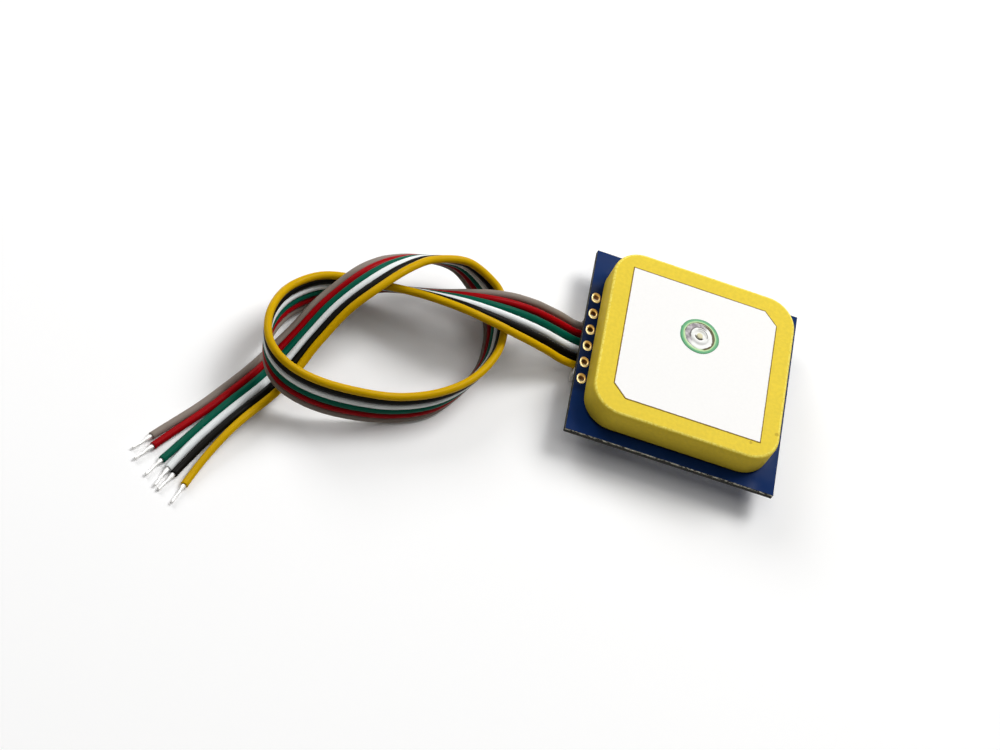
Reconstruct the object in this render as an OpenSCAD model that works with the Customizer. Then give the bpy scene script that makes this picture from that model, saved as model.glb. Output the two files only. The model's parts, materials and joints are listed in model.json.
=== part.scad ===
// Satellite positioning module: a square patch antenna on a small circuit board, with a shielded
// receiver and a side-entry cable socket on the underside, and a flat lead of six coloured wires.
// Millimetres. The origin is under the middle of the board, on the surface that the module lies on.
// +X runs right along the front edge, +Y to the back, +Z up. The lead leaves towards -X.

/* [Circuit board] */
// Board that shows beside the antenna, on its left and right
rim_x = 1.5; // [1.3:0.1:5]
// Board that shows in front of the antenna and behind it
rim_y = 1.5; // [1.3:0.1:5]
// Thickness of the board
board_t = 0.8; // [0.6:0.1:1.6]

/* [Plated holes] */
// Number of plated holes in the row
hole_count = 6; // [2:1:8]
// Spacing of the plated holes
hole_pitch = 2.54; // [2:0.01:3]
// Clear diameter of a plated hole
hole_d = 0.8; // [0.6:0.05:1]
// Distance from the board's left edge to the middle of a hole
hole_inset = 0.9; // [0.85:0.05:1.5]
// Copper rim of a hole's land, across the row
land_rim = 0.2; // [0.15:0.05:0.35]
// Extra length of a hole's land, along the row
land_stretch = 0.35; // [0.1:0.05:0.5]
// Thickness of the copper lands
land_t = 0.05; // [0.03:0.01:0.1]
// Shift of the hole row and of the cable socket towards the back
row_y = 0.25; // [-1:0.05:1]

/* [Antenna] */
// Side of the square ceramic block
ceramic_w = 25; // [22:0.5:26]
// Thickness of the ceramic block
ceramic_h = 4; // [2:0.5:6]
// Radius of the block's upright corners
ceramic_r = 4; // [2:0.5:5]
// Rounding of the block's top edge
ceramic_edge = 0.4; // [0.1:0.1:0.8]
// Rounding of the block's bottom edge
ceramic_foot = 0.2; // [0.1:0.1:0.5]
// Bare ceramic left around the electrode
electrode_margin = 2.5; // [2:0.1:6]
// Leg of the electrode's two clipped corners
electrode_clip = 1.8; // [0.5:0.1:4]
// Thickness of the silver layers
silver_t = 0.05; // [0.03:0.01:0.1]
// Thickness of the adhesive pad under the antenna
adhesive_t = 0.25; // [0.1:0.05:1]
// Inset of the adhesive pad from the block's sides
adhesive_margin = 1; // [0.5:0.1:3]

/* [Feed point] */
// Distance of the feed point behind the antenna's middle
feed_y = 2.75; // [1:0.05:4]
// Diameter of the feed pin
pin_d = 0.9; // [0.6:0.05:1.2]
// Clearance around the feed pin in the ceramic and the board
pin_clear = 0.1; // [0.05:0.05:0.2]
// Diameter of the solder pool around the pin
pool_d = 4; // [3:0.1:5]
// Height of the solder pool at the pin
pool_h = 0.45; // [0.2:0.05:0.8]
// Width of the printed ring around the pool
ring_w = 0.6; // [0.3:0.05:1]
// Thickness of the printed ring
ring_t = 0.05; // [0.03:0.01:0.1]
// Reach of the pin's solder joint below the board
joint_h = 1; // [0.6:0.1:1.5]

/* [Shield can] */
// Distance from the board's right edge to the can
can_gap = 2; // [1:0.1:3]
// Distance from the socket's solder feet to the can
can_socket_gap = 2.1; // [1:0.1:3]
// Distance from the board's front and back edges to the can
can_end_gap = 4.5; // [3.5:0.1:5]
// Height of the can below the board
can_h = 3.4; // [2.5:0.1:4]
// Sheet thickness of the can
can_t = 0.2; // [0.1:0.05:0.3]
// Inner radius of the can's upright corners
can_r = 0.8; // [0.4:0.1:2]
// Inner radius of the bend around the can's face
can_bend = 0.3; // [0.1:0.1:0.8]
// Width of a solder notch in the can's rim
notch_w = 1.2; // [0.6:0.1:2]
// Height of a solder notch in the can's rim
notch_h = 0.5; // [0.2:0.1:1]
// Spacing of the solder notches
notch_pitch = 4; // [3:0.5:6]

/* [Connector] */
// Spacing of the contacts
contact_pitch = 1.25; // [1.2:0.01:1.5]
// Plug body beyond the outer contacts, on each side
plug_side = 1.5; // [1:0.1:2]
// Height of the plug body
plug_h = 2.5; // [2.2:0.1:3]
// Length of the plug body
plug_l = 4.8; // [4.5:0.1:6]
// Distance from the board's left edge to the plug's back end
plug_inset = 0.2; // [0:0.1:0.5]
// Length of plug that stays outside the socket
plug_out = 1.4; // [1.3:0.1:2]
// Length of the plug's back that is open above the wires
plug_tray = 1.2; // [0.6:0.1:1.2]
// Clearance between plug and socket on each side
mate_gap = 0.08; // [0.04:0.02:0.12]
// Side wall of the socket
socket_wall = 0.6; // [0.4:0.05:1]
// Floor and roof of the socket
socket_floor = 0.37; // [0.25:0.01:0.6]
// Back wall of the socket
socket_back = 0.6; // [0.4:0.05:1]
// Free depth of the socket in front of the plug's nose
socket_slack = 0.4; // [0.2:0.1:0.8]
// Side of a socket contact's square pin
contact_w = 0.4; // [0.3:0.05:0.5]
// Length of a contact's solder foot
contact_foot = 0.7; // [0.5:0.1:1]
// Sheet thickness of feet and solder anchors
foot_t = 0.2; // [0.1:0.05:0.3]

/* [Lead] */
// Diameter of a wire over its jacket
wire_d = 0.95; // [0.8:0.05:1]
// Spacing of the wires in the flat ribbon
ribbon_pitch = 1; // [1:0.01:1.2]
// Diameter of a bare tip where it leaves the jacket
tip_d = 0.55; // [0.4:0.05:0.7]
// Diameter of a bare tip at its end
tip_end_d = 0.4; // [0.3:0.05:0.5]
// Length of a bare tip
tip_l = 2.9; // [2:0.1:5]

/* [Hidden] */
$fn = 48;
cut = 1;

// The board in plan
board_w = ceramic_w + 2 * rim_x;
board_l = ceramic_w + 2 * rim_y;

// Heights of the stack, from the surface up
contact_count = 6;
plug_w = (contact_count - 1) * contact_pitch + 2 * plug_side;
socket_h = plug_h + 2 * mate_gap + 2 * socket_floor;
board_z = max(can_h, socket_h);
board_top = board_z + board_t;
ground_z = board_top + adhesive_t;
ceramic_z = ground_z + silver_t;
electrode_z = ceramic_z + ceramic_h;
feed_z = electrode_z + silver_t;

// The antenna in plan
electrode_w = ceramic_w - 2 * electrode_margin;
adhesive_w = ceramic_w - 2 * adhesive_margin;
adhesive_r = 2;
ground_margin = 0.3;
pin_hole_d = pin_d + 2 * pin_clear;
ground_clear = 0.7;
ground_hole_d = pin_hole_d + 2 * ground_clear;
pin_rise = 0.1;
pool_rim = 0.12;

// The hole row
hole_x = -board_w / 2 + hole_inset;
land_w = hole_d + 2 * land_rim;

// The connector, from the plug's back end to the ends of the solder feet
plug_x = plug_inset - board_w / 2;
plug_bevel = 0.3;
socket_x = plug_x + plug_out;
cavity_l = plug_l - plug_out + socket_slack;
cavity_w = plug_w + 2 * mate_gap;
cavity_h = plug_h + 2 * mate_gap;
socket_l = cavity_l + socket_back;
socket_w = cavity_w + 2 * socket_wall;
socket_window = [1.4, 1.2];
socket_window_x = 0.8;
contact_leg_x = socket_x + socket_l + foot_t;
contact_end = contact_leg_x + contact_foot;
contact_taper = 0.15;
wire_z = board_z - socket_h / 2;
anchor_l = 1.8;
anchor_h = 1.6;
anchor_foot = 1;

// A channel of the plug and the crimp contact in it
channel_clear = 0.05;
channel_w = wire_d + 2 * channel_clear;
channel_h = 1.3;
channel_front = 0.5;
tray_room = 0.15;
lance_window = [1, 0.6];
lance_x = 1;
crimp_clear = 0.05;
crimp_w = channel_w - 3 * crimp_clear;
crimp_h = channel_h - 2 * crimp_clear;
crimp_inset = 1.1;
crimp_grip = 0.9;
crimp_wall = 0.2;
crimp_x = plug_x + crimp_inset;
crimp_l = plug_l - channel_front - crimp_inset - crimp_grip;
contact_reach = 1.6;
contact_tip = plug_x + plug_l - channel_front - contact_reach;

// The shield can, between the socket's feet and the board's right edge
can_left = contact_end + can_socket_gap;
can_w = board_w / 2 - can_gap - can_left;
can_l = board_l - 2 * can_end_gap;
can_x = can_left + can_w / 2;
can_z = board_z - can_h;
in_left = can_left + can_t;
in_right = can_left + can_w - can_t;
in_front = can_t - can_l / 2;
in_back = can_l / 2 - can_t;

// The larger parts under the can: width, length and height
receiver = [7, 7, 0.85];
flash = [4, 3, 0.7];
oscillator = [2.5, 2, 0.8];
crystal = [3.2, 1.5, 0.75];
filter = [1.4, 1.1, 0.55];
amplifier = [1.5, 1.5, 0.55];

// Their room beside the can's walls and each other
right_room = 1.8;
front_room = 2.2;
back_room = 1.5;
left_room = 2.3;
crystal_room = 0.6;
oscillator_y = 3.7;
filter_y = -0.9;
amplifier_y = 2.9;

// Rows of small chip parts along the can's walls
chip_l = 1;
chip_w = 0.5;
chip_cap = 0.22;
chip_rim = 0.03;
resistor_h = 0.35;
left_row = in_left + 1.2;
right_row = in_right - 0.9;
front_row = in_front + 0.9;
back_row = in_back - 0.8;
left_capacitors = [-7, 1, 3.4, 6.6];
right_capacitors = [6.3, 8.8, 10.9];
front_capacitors = [3, 5.4, 7.8];
back_capacitors = [4.6, 6.2];
left_resistors = [-3, -1];
front_resistors = [10.2, 12.6];
back_resistors = [7.8, 9.4];
capacitor_places = concat(
    [for (y = left_capacitors) [left_row, y, 90]],
    [for (y = right_capacitors) [right_row, in_front + y, 90]],
    [for (x = front_capacitors) [in_left + x, front_row, 0]],
    [for (x = back_capacitors) [in_left + x, back_row, 0]]
);
resistor_places = concat(
    [for (y = left_resistors) [left_row, y, 90]],
    [for (x = front_resistors) [in_left + x, front_row, 0]],
    [for (x = back_resistors) [in_left + x, back_row, 0]]
);

// Outer parts, each with its distances from the board's nearest edges
regulator = [2.9, 1.6, 1.1];
regulator_at = [4.6, 4.4];
lead_w = 0.4;
lead_t = 0.15;
lead_reach = 0.65;
lead_drop = 0.5;
lead_pitch = 0.95;
lead_seat = 0.05;
regulator_capacitor = [1.6, 0.8, 0.8];
regulator_capacitor_cap = 0.35;
regulator_capacitors = [[2.2, 4.4], [7, 4.4]];
light = [1.6, 0.8, 0.3];
light_lens = [1, 0.8, 0.3];
light_at = [4.8, 4.2];
light_resistor = [2.6, 4.2];

// Route of the ribbon's middle, chosen by hand: x from the board's left edge, y, z, and the roll
// of the yellow edge, 0 with the edge to the left of the way and 90 with the edge on top
route = [
    [-1.15, -0.05, 2.45, -3],
    [-3.25, -0.55, 3.7, -5],
    [-6.05, -1.3, 5.45, -1],
    [-9.6, -2.05, 6.9, 6],
    [-13.35, -2.5, 7.5, 20],
    [-16.85, -2.45, 7, 34],
    [-21.7, -2.2, 5.4, 51],
    [-26.2, -2.45, 4.4, 61],
    [-30.25, -3.15, 3.35, 81],
    [-34.2, -5, 3, 100],
    [-37.3, -8.55, 3.5, 106],
    [-38.9, -13.6, 5.3, 104],
    [-38.4, -17.85, 6, 100],
    [-36.1, -20.35, 5.95, 91],
    [-32.5, -21.1, 5.3, 87],
    [-27.65, -20.4, 4.2, 85],
    [-21.85, -18.6, 3.25, 87],
    [-16.8, -16, 3.25, 89],
    [-13.3, -12.1, 3.2, 99],
    [-11.1, -7.4, 3.1, 101],
    [-10.75, -3.1, 3, 100],
    [-11.35, 0.2, 3.05, 99],
    [-13.4, 2.5, 3.9, 88],
    [-17.6, 3.4, 6.05, 67],
    [-22.5, 1.5, 7.4, 54],
    [-25.95, -1.6, 8.7, 41],
    [-29.05, -5.2, 8.6, 32],
    [-32, -8.8, 6.2, 34],
    [-34.2, -12.7, 3.65, 35],
    [-36, -16.25, 2, 25],
    [-37.8, -19.55, 1.25, 17],
    [-40.4, -23.8, 1.3, 16]
];
// Ends of the six jackets on the surface: x from the board's left edge, y, heading of the bare tip
tails = [
    [-48.7, -31.1, 234],
    [-48.2, -32.35, 236],
    [-46.75, -33.8, 241],
    [-45.75, -34.7, 249],
    [-44.95, -35.2, 246],
    [-43.4, -36.2, 253]
];
// The wires start at the crimps and leave the plug's open back
wire_run = 1.05;
wire_rise = 0.1;
plug_way = [-1, 0, 0];
stations = concat(
    [[crimp_x, row_y, wire_z, 0], [crimp_x - wire_run, row_y, wire_z + wire_rise, 0]],
    [for (p = route) p - [board_w / 2, 0, 0, 0]]
);
jacket_ends = [for (p = tails) p - [board_w / 2, 0, 0]];
// Stations over which the wires close up from the contacts' spacing to the ribbon's
merge_first = 4;
merge_last = 8;
rings_per_station = 2;
tail_rings = 6;
wire_sides = 8;

// Place between b and c on the smooth curve through a, b, c and d
function on_curve(a, b, c, d, t) =
    0.5 * (2 * b + (c - a) * t + (2 * a - 5 * b + 4 * c - d) * t * t + (3 * b - a - 3 * c + d) * t * t * t);

// A station by number, with one more beyond each end in line with the last two
function station(k) =
    k < 0 ? 2 * stations[0] - stations[1]
    : k >= len(stations) ? 2 * stations[len(stations) - 1] - stations[len(stations) - 2]
    : stations[k];

function unit(v) = v / norm(v);
function xyz(q) = [q[0], q[1], q[2]];

last_station = len(stations) - 1;
middle = [
    for (i = [0 : last_station * rings_per_station])
    let (k = min(floor(i / rings_per_station), last_station - 1))
    on_curve(station(k - 1), station(k), station(k + 1), station(k + 2), i / rings_per_station - k)
];

// Direction of a list of points at number i
function heading(points, i) =
    unit(xyz(points[min(i + 1, len(points) - 1)]) - xyz(points[max(i - 1, 0)]));

// Direction across the ribbon, towards its yellow edge
function across(i) =
    let (
        t = i == 0 ? plug_way : heading(middle, i),
        left = unit([-t[1], t[0], 0]),
        up = cross(t, left),
        roll = middle[i][3]
    )
    cos(roll) * left + sin(roll) * up;

function spacing(i) =
    let (
        k = i / rings_per_station,
        open = max(0, min(1, (merge_last - k) / (merge_last - merge_first)))
    )
    ribbon_pitch + (contact_pitch - ribbon_pitch) * open;

function side_of(wire) = wire - (contact_count - 1) / 2;

ribbon_end = len(middle) - 1;
ribbon_way = heading(middle, ribbon_end);

// Places along one wire in the ribbon, each with the direction across the ribbon
function in_ribbon(wire) = [
    for (i = [0 : ribbon_end])
    let (w = across(i))
    [xyz(middle[i]) + side_of(wire) * spacing(i) * w, w]
];

// Heading of one wire's bare tip
function tip_way(wire) = [cos(jacket_ends[wire][2]), sin(jacket_ends[wire][2]), 0];

// Places along one wire's free tail, a curve from the ribbon's end to the end of the jacket
function in_tail(wire) =
    let (
        way = tip_way(wire),
        a = xyz(middle[ribbon_end]) + side_of(wire) * spacing(ribbon_end) * across(ribbon_end),
        d = [jacket_ends[wire][0], jacket_ends[wire][1], wire_d / 2],
        reach = norm(d - a) / 3,
        b = a + reach * ribbon_way,
        c = d - reach * way,
        level = [-way[1], way[0], 0]
    )
    [
        for (i = [1 : tail_rings])
        let (t = i / tail_rings, s = 1 - t)
        [s * s * s * a + 3 * s * s * t * b + 3 * s * t * t * c + t * t * t * d,
            unit(s * across(ribbon_end) + t * level)]
    ];

// One ring of points around a place on a wire
function ring(place, way, side) =
    let (
        u = unit(side - way * (way * side)),
        v = cross(way, u)
    )
    [
        for (a = [0.5 : wire_sides - 0.5])
        place + wire_d / 2 * (cos(360 * a / wire_sides) * u + sin(360 * a / wire_sides) * v)
    ];

// A closed tube along the places of one wire
module wire(number) {
    places = concat(in_ribbon(number), in_tail(number));
    points = [for (p = places) p[0]];
    last = len(places) - 1;
    ways = [
        for (i = [0 : last])
        i == 0 ? plug_way
        : i < last ? heading(points, i)
        : tip_way(number)
    ];
    skin = [for (i = [0 : last]) each ring(points[i], ways[i], places[i][1])];
    n = wire_sides;
    walls = [
        for (i = [0 : last - 1], a = [0 : n - 1])
        let (b = (a + 1) % n)
        each [
            [i * n + a, (i + 1) * n + a, i * n + b],
            [i * n + b, (i + 1) * n + a, (i + 1) * n + b]
        ]
    ];
    first_cap = [for (a = [0 : n - 1]) a];
    last_cap = [for (a = [n - 1 : -1 : 0]) last * n + a];
    polyhedron(skin, concat([first_cap], walls, [last_cap]), convexity = 10);
}

// Square plate with round corners, as an outline
module round_square(w, l, r) {
    square([w - 2 * r, l], center = true);
    square([w, l - 2 * r], center = true);
    for (x = [-1, 1], y = [-1, 1])
        translate([x * (w / 2 - r), y * (l / 2 - r)])
            circle(r);
}

// Moves children to each plated hole
module at_holes() {
    for (k = [0 : hole_count - 1])
        translate([hole_x, row_y + (k - (hole_count - 1) / 2) * hole_pitch, board_z])
            children();
}

// Moves children to the feed point, at height z
module at_feed(z) {
    translate([0, feed_y, z])
        children();
}

// Moves children to each contact, with the first at the back
module at_contacts(x) {
    for (k = [0 : contact_count - 1])
        translate([x, row_y - side_of(k) * contact_pitch, wire_z])
            children();
}

// Block of a chip that hangs under the board, by its left front corner
module under_board(corner, size) {
    translate([corner[0], corner[1], board_z - size[2]])
        cube(size);
}

module circuit_board() {
    color("midnightblue")
    difference() {
        translate([-board_w / 2, -board_l / 2, board_z])
            cube([board_w, board_l, board_t]);
        at_holes()
            translate([0, 0, -cut])
                cylinder(d = hole_d, h = board_t + 2 * cut);
        at_feed(board_z - cut)
            cylinder(d = pin_hole_d, h = board_t + 2 * cut);
    }
}

// Outline of a hole's land: a circle stretched along the row
module land() {
    square([land_w, land_stretch], center = true);
    for (y = [-1, 1])
        translate([0, y * land_stretch / 2])
            circle(d = land_w);
}

// Copper lands on both faces of the board, each with its hole
module hole_lands() {
    color("gold")
    at_holes()
    difference() {
        for (z = [-land_t, board_t])
            translate([0, 0, z])
                linear_extrude(land_t)
                    land();
        translate([0, 0, -cut])
            cylinder(d = hole_d, h = board_t + 2 * cut);
    }
}

module adhesive_pad() {
    color("whitesmoke")
    difference() {
        translate([0, 0, board_top])
            linear_extrude(adhesive_t)
                round_square(adhesive_w, adhesive_w, adhesive_r);
        at_feed(board_top - cut)
            cylinder(d = ground_hole_d, h = adhesive_t + 2 * cut);
    }
}

module antenna_ground() {
    ground_w = ceramic_w - 2 * (ceramic_foot + ground_margin);
    ground_r = ceramic_r - ceramic_foot - ground_margin;
    color("silver")
    difference() {
        translate([0, 0, ground_z])
            linear_extrude(silver_t)
                round_square(ground_w, ground_w, ground_r);
        at_feed(ground_z - cut)
            cylinder(d = ground_hole_d, h = silver_t + 2 * cut);
    }
}

// Quarter arc of a profile, from one angle to another about a centre
function arc(centre, r, from, to) = [
    for (i = [0 : 4])
    let (q = from + (to - from) * i / 4)
    centre + r * [cos(q), sin(q)]
];

// One upright corner of the ceramic block, with its rounded edges
module ceramic_corner() {
    profile = concat(
        [[0, 0]],
        arc([ceramic_r - ceramic_foot, ceramic_foot], ceramic_foot, -90, 0),
        arc([ceramic_r - ceramic_edge, ceramic_h - ceramic_edge], ceramic_edge, 0, 90),
        [[0, ceramic_h]]
    );
    rotate_extrude($fn = 32)
        polygon(profile);
}

module antenna_ceramic() {
    corner = ceramic_w / 2 - ceramic_r;
    color("khaki")
    difference() {
        translate([0, 0, ceramic_z])
            hull()
                for (x = [-corner, corner], y = [-corner, corner])
                    translate([x, y, 0])
                        ceramic_corner();
        at_feed(ceramic_z - cut)
            cylinder(d = pin_hole_d, h = ceramic_h + 2 * cut);
    }
}

module antenna_electrode() {
    h = electrode_w / 2;
    c = electrode_clip;
    color("white")
    difference() {
        translate([0, 0, electrode_z])
            linear_extrude(silver_t)
                polygon([[-h, h], [-h, c - h], [c - h, -h], [h, -h], [h, h - c], [h - c, h]]);
        at_feed(electrode_z - cut)
            cylinder(d = pin_hole_d, h = silver_t + 2 * cut);
    }
}

module feed_ring() {
    color("mediumseagreen")
    at_feed(feed_z)
    difference() {
        cylinder(d = pool_d + 2 * ring_w, h = ring_t);
        translate([0, 0, -cut])
            cylinder(d = pool_d, h = ring_t + 2 * cut);
    }
}

// Solder pool: a low rim, a shallow trough and a dome that climbs the pin
module feed_solder() {
    r = pool_d / 2;
    profile = [
        [pin_d / 2, 0], [r, 0], [r, pool_rim / 2], [0.9 * r, pool_rim], [0.65 * r, pool_rim / 2],
        [0.55 * r, 0.6 * pool_h], [0.42 * r, 0.92 * pool_h], [pin_d / 2, pool_h]
    ];
    color("lightgray")
    at_feed(feed_z)
        rotate_extrude()
            polygon(profile);
}

module feed_pin() {
    below = board_z - joint_h;
    above = feed_z + pool_h + pin_rise;
    color("darkkhaki")
    at_feed(below)
        cylinder(d = pin_d, h = above - below);
}

// Solder cone around the pin under the board
module feed_joint() {
    foot_d = 2.2 * pin_d;
    color("lightgray")
    at_feed(board_z - 0.8 * joint_h)
    difference() {
        cylinder(d1 = 1.3 * pin_d, d2 = foot_d, h = 0.8 * joint_h);
        translate([0, 0, -cut])
            cylinder(d = pin_d, h = joint_h + 2 * cut);
    }
}

// Section of a pressed sheet block: square above, with round lower corners
module pressed_section(w, h, bend) {
    translate([-w / 2, bend])
        square([w, h - bend]);
    translate([bend - w / 2, 0])
        square([w - 2 * bend, h]);
    for (x = [-1, 1])
        translate([x * (w / 2 - bend), bend])
            circle(bend);
}

// Block with round upright corners and a round bend around its lower face
module pressed_block(w, l, h, r, bend) {
    intersection() {
        linear_extrude(h)
            round_square(w, l, r);
        translate([0, l / 2, 0])
            rotate([90, 0, 0])
                linear_extrude(l)
                    pressed_section(w, h, bend);
        translate([-w / 2, 0, 0])
            rotate([90, 0, 90])
                linear_extrude(w)
                    pressed_section(l, h, bend);
    }
}

// Drawn sheet can, open towards the board, with solder notches in its rim
module shield_can() {
    inner_w = can_w - 2 * can_t;
    inner_l = can_l - 2 * can_t;
    along_x = floor((inner_w - 2 * can_r - notch_w) / notch_pitch / 2);
    along_y = floor((inner_l - 2 * can_r - notch_w) / notch_pitch / 2);
    color("lightsteelblue")
    translate([can_x, 0, can_z])
    difference() {
        pressed_block(can_w, can_l, can_h, can_r + can_t, can_bend + can_t);
        translate([0, 0, can_t])
            pressed_block(inner_w, inner_l, can_h, can_r, can_bend);
        for (k = [-along_x : along_x])
            translate([k * notch_pitch - notch_w / 2, -can_l / 2 - cut, can_h - notch_h])
                cube([notch_w, can_l + 2 * cut, notch_h + cut]);
        for (k = [-along_y : along_y])
            translate([-can_w / 2 - cut, k * notch_pitch - notch_w / 2, can_h - notch_h])
                cube([can_w + 2 * cut, notch_w, notch_h + cut]);
    }
}

module receiver_chip() {
    color("dimgray")
        under_board([in_right - right_room - receiver[0], in_front + front_room], receiver);
}

module flash_chip() {
    color("dimgray")
        under_board([in_right - right_room - flash[0], in_back - back_room - flash[1]], flash);
}

module clock_oscillator() {
    color("goldenrod")
        under_board([in_left + left_room, in_front + oscillator_y], oscillator);
}

module clock_crystal() {
    receiver_back = in_front + front_room + receiver[1];
    color("silver")
        under_board([in_right - right_room - crystal[0], receiver_back + crystal_room], crystal);
}

module signal_filter() {
    color("tan")
        under_board([in_left + left_room, filter_y], filter);
}

module signal_amplifier() {
    color("dimgray")
        under_board([in_left + left_room, in_back - amplifier_y - amplifier[1]], amplifier);
}

// Small regulator: a moulded body with two leads in front and three behind
module voltage_regulator() {
    lead = [
        [0, lead_drop], [lead_reach / 2, lead_drop], [lead_reach / 2, 0], [lead_reach, 0],
        [lead_reach, lead_t], [lead_reach / 2 + lead_t, lead_t],
        [lead_reach / 2 + lead_t, lead_drop + lead_t], [0, lead_drop + lead_t]
    ];
    color("dimgray")
    translate([regulator_at[0] - board_w / 2, board_l / 2 - regulator_at[1], board_z])
    mirror([0, 0, 1]) {
        translate([-regulator[0] / 2, -regulator[1] / 2, lead_seat])
            cube([regulator[0], regulator[1], regulator[2] - lead_seat]);
        for (end = [[1, -1], [1, 0], [1, 1], [-1, -1], [-1, 1]])
            translate([end[1] * lead_pitch - lead_w / 2, end[0] * regulator[1] / 2, 0])
                rotate([90, 0, 90])
                    linear_extrude(lead_w)
                        mirror([end[0] < 0 ? 1 : 0, 0])
                            polygon(lead);
    }
}

// Two-ended chip part under the board: end caps a little larger than the body between them
module chip(l, w, h, cap) {
    mirror([0, 0, 1]) {
        for (x = [-l / 2, l / 2 - cap])
            translate([x, -w / 2, 0])
                cube([cap, w, h]);
        translate([-l / 2 + chip_rim, -w / 2 + chip_rim, chip_rim])
            cube([l - 2 * chip_rim, w - 2 * chip_rim, h - 2 * chip_rim]);
    }
}

module chip_capacitors() {
    outer = regulator_capacitor;
    color("burlywood") {
        for (p = capacitor_places)
            translate([p[0], p[1], board_z])
                rotate(p[2])
                    chip(chip_l, chip_w, chip_w, chip_cap);
        for (p = regulator_capacitors)
            translate([p[0] - board_w / 2, board_l / 2 - p[1], board_z])
                rotate(90)
                    chip(outer[0], outer[1], outer[2], regulator_capacitor_cap);
    }
}

module chip_resistors() {
    color("black") {
        for (p = resistor_places)
            translate([p[0], p[1], board_z])
                rotate(p[2])
                    chip(chip_l, chip_w, resistor_h, chip_cap);
        translate([light_resistor[0] - board_w / 2, light_resistor[1] - board_l / 2, board_z])
            rotate(90)
                chip(chip_l, chip_w, resistor_h, chip_cap);
    }
}

// Status light: a flat base and a clear lens
module status_light() {
    color("honeydew")
    translate([light_at[0] - board_w / 2, light_at[1] - board_l / 2, board_z])
    mirror([0, 0, 1]) {
        translate([-light[0] / 2, -light[1] / 2, 0])
            cube(light);
        translate([-light_lens[0] / 2, -light_lens[1] / 2, light[2]])
            cube(light_lens);
    }
}

module socket_housing() {
    color("ivory")
    difference() {
        translate([socket_x, row_y - socket_w / 2, board_z - socket_h])
            cube([socket_l, socket_w, socket_h]);
        translate([socket_x - cut, row_y - cavity_w / 2, wire_z - cavity_h / 2])
            cube([cavity_l + cut, cavity_w, cavity_h]);
        for (y = [-1, 1])
            translate([
                socket_x + socket_window_x,
                row_y + y * plug_w / 4 - socket_window[1] / 2,
                board_z - socket_h - cut
            ])
                cube([socket_window[0], socket_window[1], socket_floor + mate_gap + cut]);
        at_contacts(socket_x + cavity_l - cut)
            translate([0, -contact_w / 2, -contact_w / 2])
                cube([socket_back + 2 * cut, contact_w, contact_w]);
    }
}

// Socket contact: a pin through the back wall, a leg up to the board and a solder foot
module socket_contacts() {
    half = contact_w / 2;
    wall_x = socket_x + socket_l;
    top = board_z - wire_z;
    profile = [
        [contact_tip, contact_taper - half], [contact_tip + contact_taper, -half],
        [contact_leg_x, -half], [contact_leg_x, top - foot_t], [contact_end, top - foot_t],
        [contact_end, top], [wall_x, top], [wall_x, half],
        [contact_tip + contact_taper, half], [contact_tip, half - contact_taper]
    ];
    color("gainsboro")
    at_contacts(0)
        translate([0, half, 0])
            rotate([90, 0, 0])
                linear_extrude(contact_w)
                    polygon(profile);
}

// Solder anchor on each side of the socket: an upright tab and a foot on the board
module socket_anchors() {
    color("gainsboro")
    for (y = [0, 1])
        translate([socket_x + socket_l / 2 - anchor_l / 2, row_y, board_z])
            mirror([0, y, 0])
                translate([0, socket_w / 2, 0]) {
                    translate([0, 0, -anchor_h])
                        cube([anchor_l, foot_t, anchor_h]);
                    translate([0, 0, -foot_t])
                        cube([anchor_l, anchor_foot, foot_t]);
                }
}

// Cable plug: bevelled along its top edges, with a channel and a lance window for each contact,
// and open above the wires at its back end
module plug_housing() {
    w = plug_w / 2;
    h = plug_h / 2;
    entry = contact_w + 2 * crimp_clear;
    open_w = (contact_count - 1) * contact_pitch + channel_w + 2 * tray_room;
    section = [
        [-w, -h], [w, -h], [w, h - plug_bevel], [w - plug_bevel, h], [plug_bevel - w, h],
        [-w, h - plug_bevel]
    ];
    color("white")
    difference() {
        translate([plug_x, row_y, wire_z])
            rotate([90, 0, 90])
                linear_extrude(plug_l)
                    polygon(section);
        at_contacts(plug_x - cut)
            translate([0, -channel_w / 2, -channel_h / 2])
                cube([plug_l - channel_front + cut, channel_w, channel_h]);
        translate([plug_x - cut, row_y - open_w / 2, wire_z - channel_h / 2])
            cube([plug_tray + cut, open_w, plug_h]);
        at_contacts(plug_x + plug_l - channel_front - cut)
            translate([0, -entry / 2, -entry / 2])
                cube([channel_front + 2 * cut, entry, entry]);
        at_contacts(socket_x + lance_x)
            translate([0, -lance_window[1] / 2, -plug_h / 2 - cut])
                cube([lance_window[0], lance_window[1], plug_h / 2 - channel_h / 2 + 2 * cut]);
    }
}

// Crimp contact: a box for the pin and a barrel that grips the wire, resting on the channel's floor
module crimp_contacts() {
    box_x = crimp_x + crimp_grip;
    bore = contact_w + 2 * crimp_clear;
    color("silver")
    at_contacts(0)
    difference() {
        union() {
            translate([box_x, -crimp_w / 2, -channel_h / 2])
                cube([crimp_l, crimp_w, crimp_h]);
            translate([crimp_x, -crimp_w / 2, -channel_h / 2])
                cube([crimp_grip, crimp_w, 0.75 * crimp_h]);
        }
        translate([box_x + crimp_wall, -bore / 2, -bore / 2])
            cube([crimp_l + cut, bore, bore]);
    }
}

module wire_grey() { color("gray") wire(0); }
module wire_red() { color("firebrick") wire(1); }
module wire_green() { color("seagreen") wire(2); }
module wire_white() { color("white") wire(3); }
module wire_black() { color("black") wire(4); }
module wire_yellow() { color("gold") wire(5); }

// Tinned wire ends, each a slim cone in line with its jacket
module bare_tips() {
    color("silver")
    for (end = jacket_ends)
        translate([end[0], end[1], wire_d / 2])
            rotate([0, 90, end[2]])
                cylinder(d1 = tip_d, d2 = tip_end_d, h = tip_l, $fn = 24);
}

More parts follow.
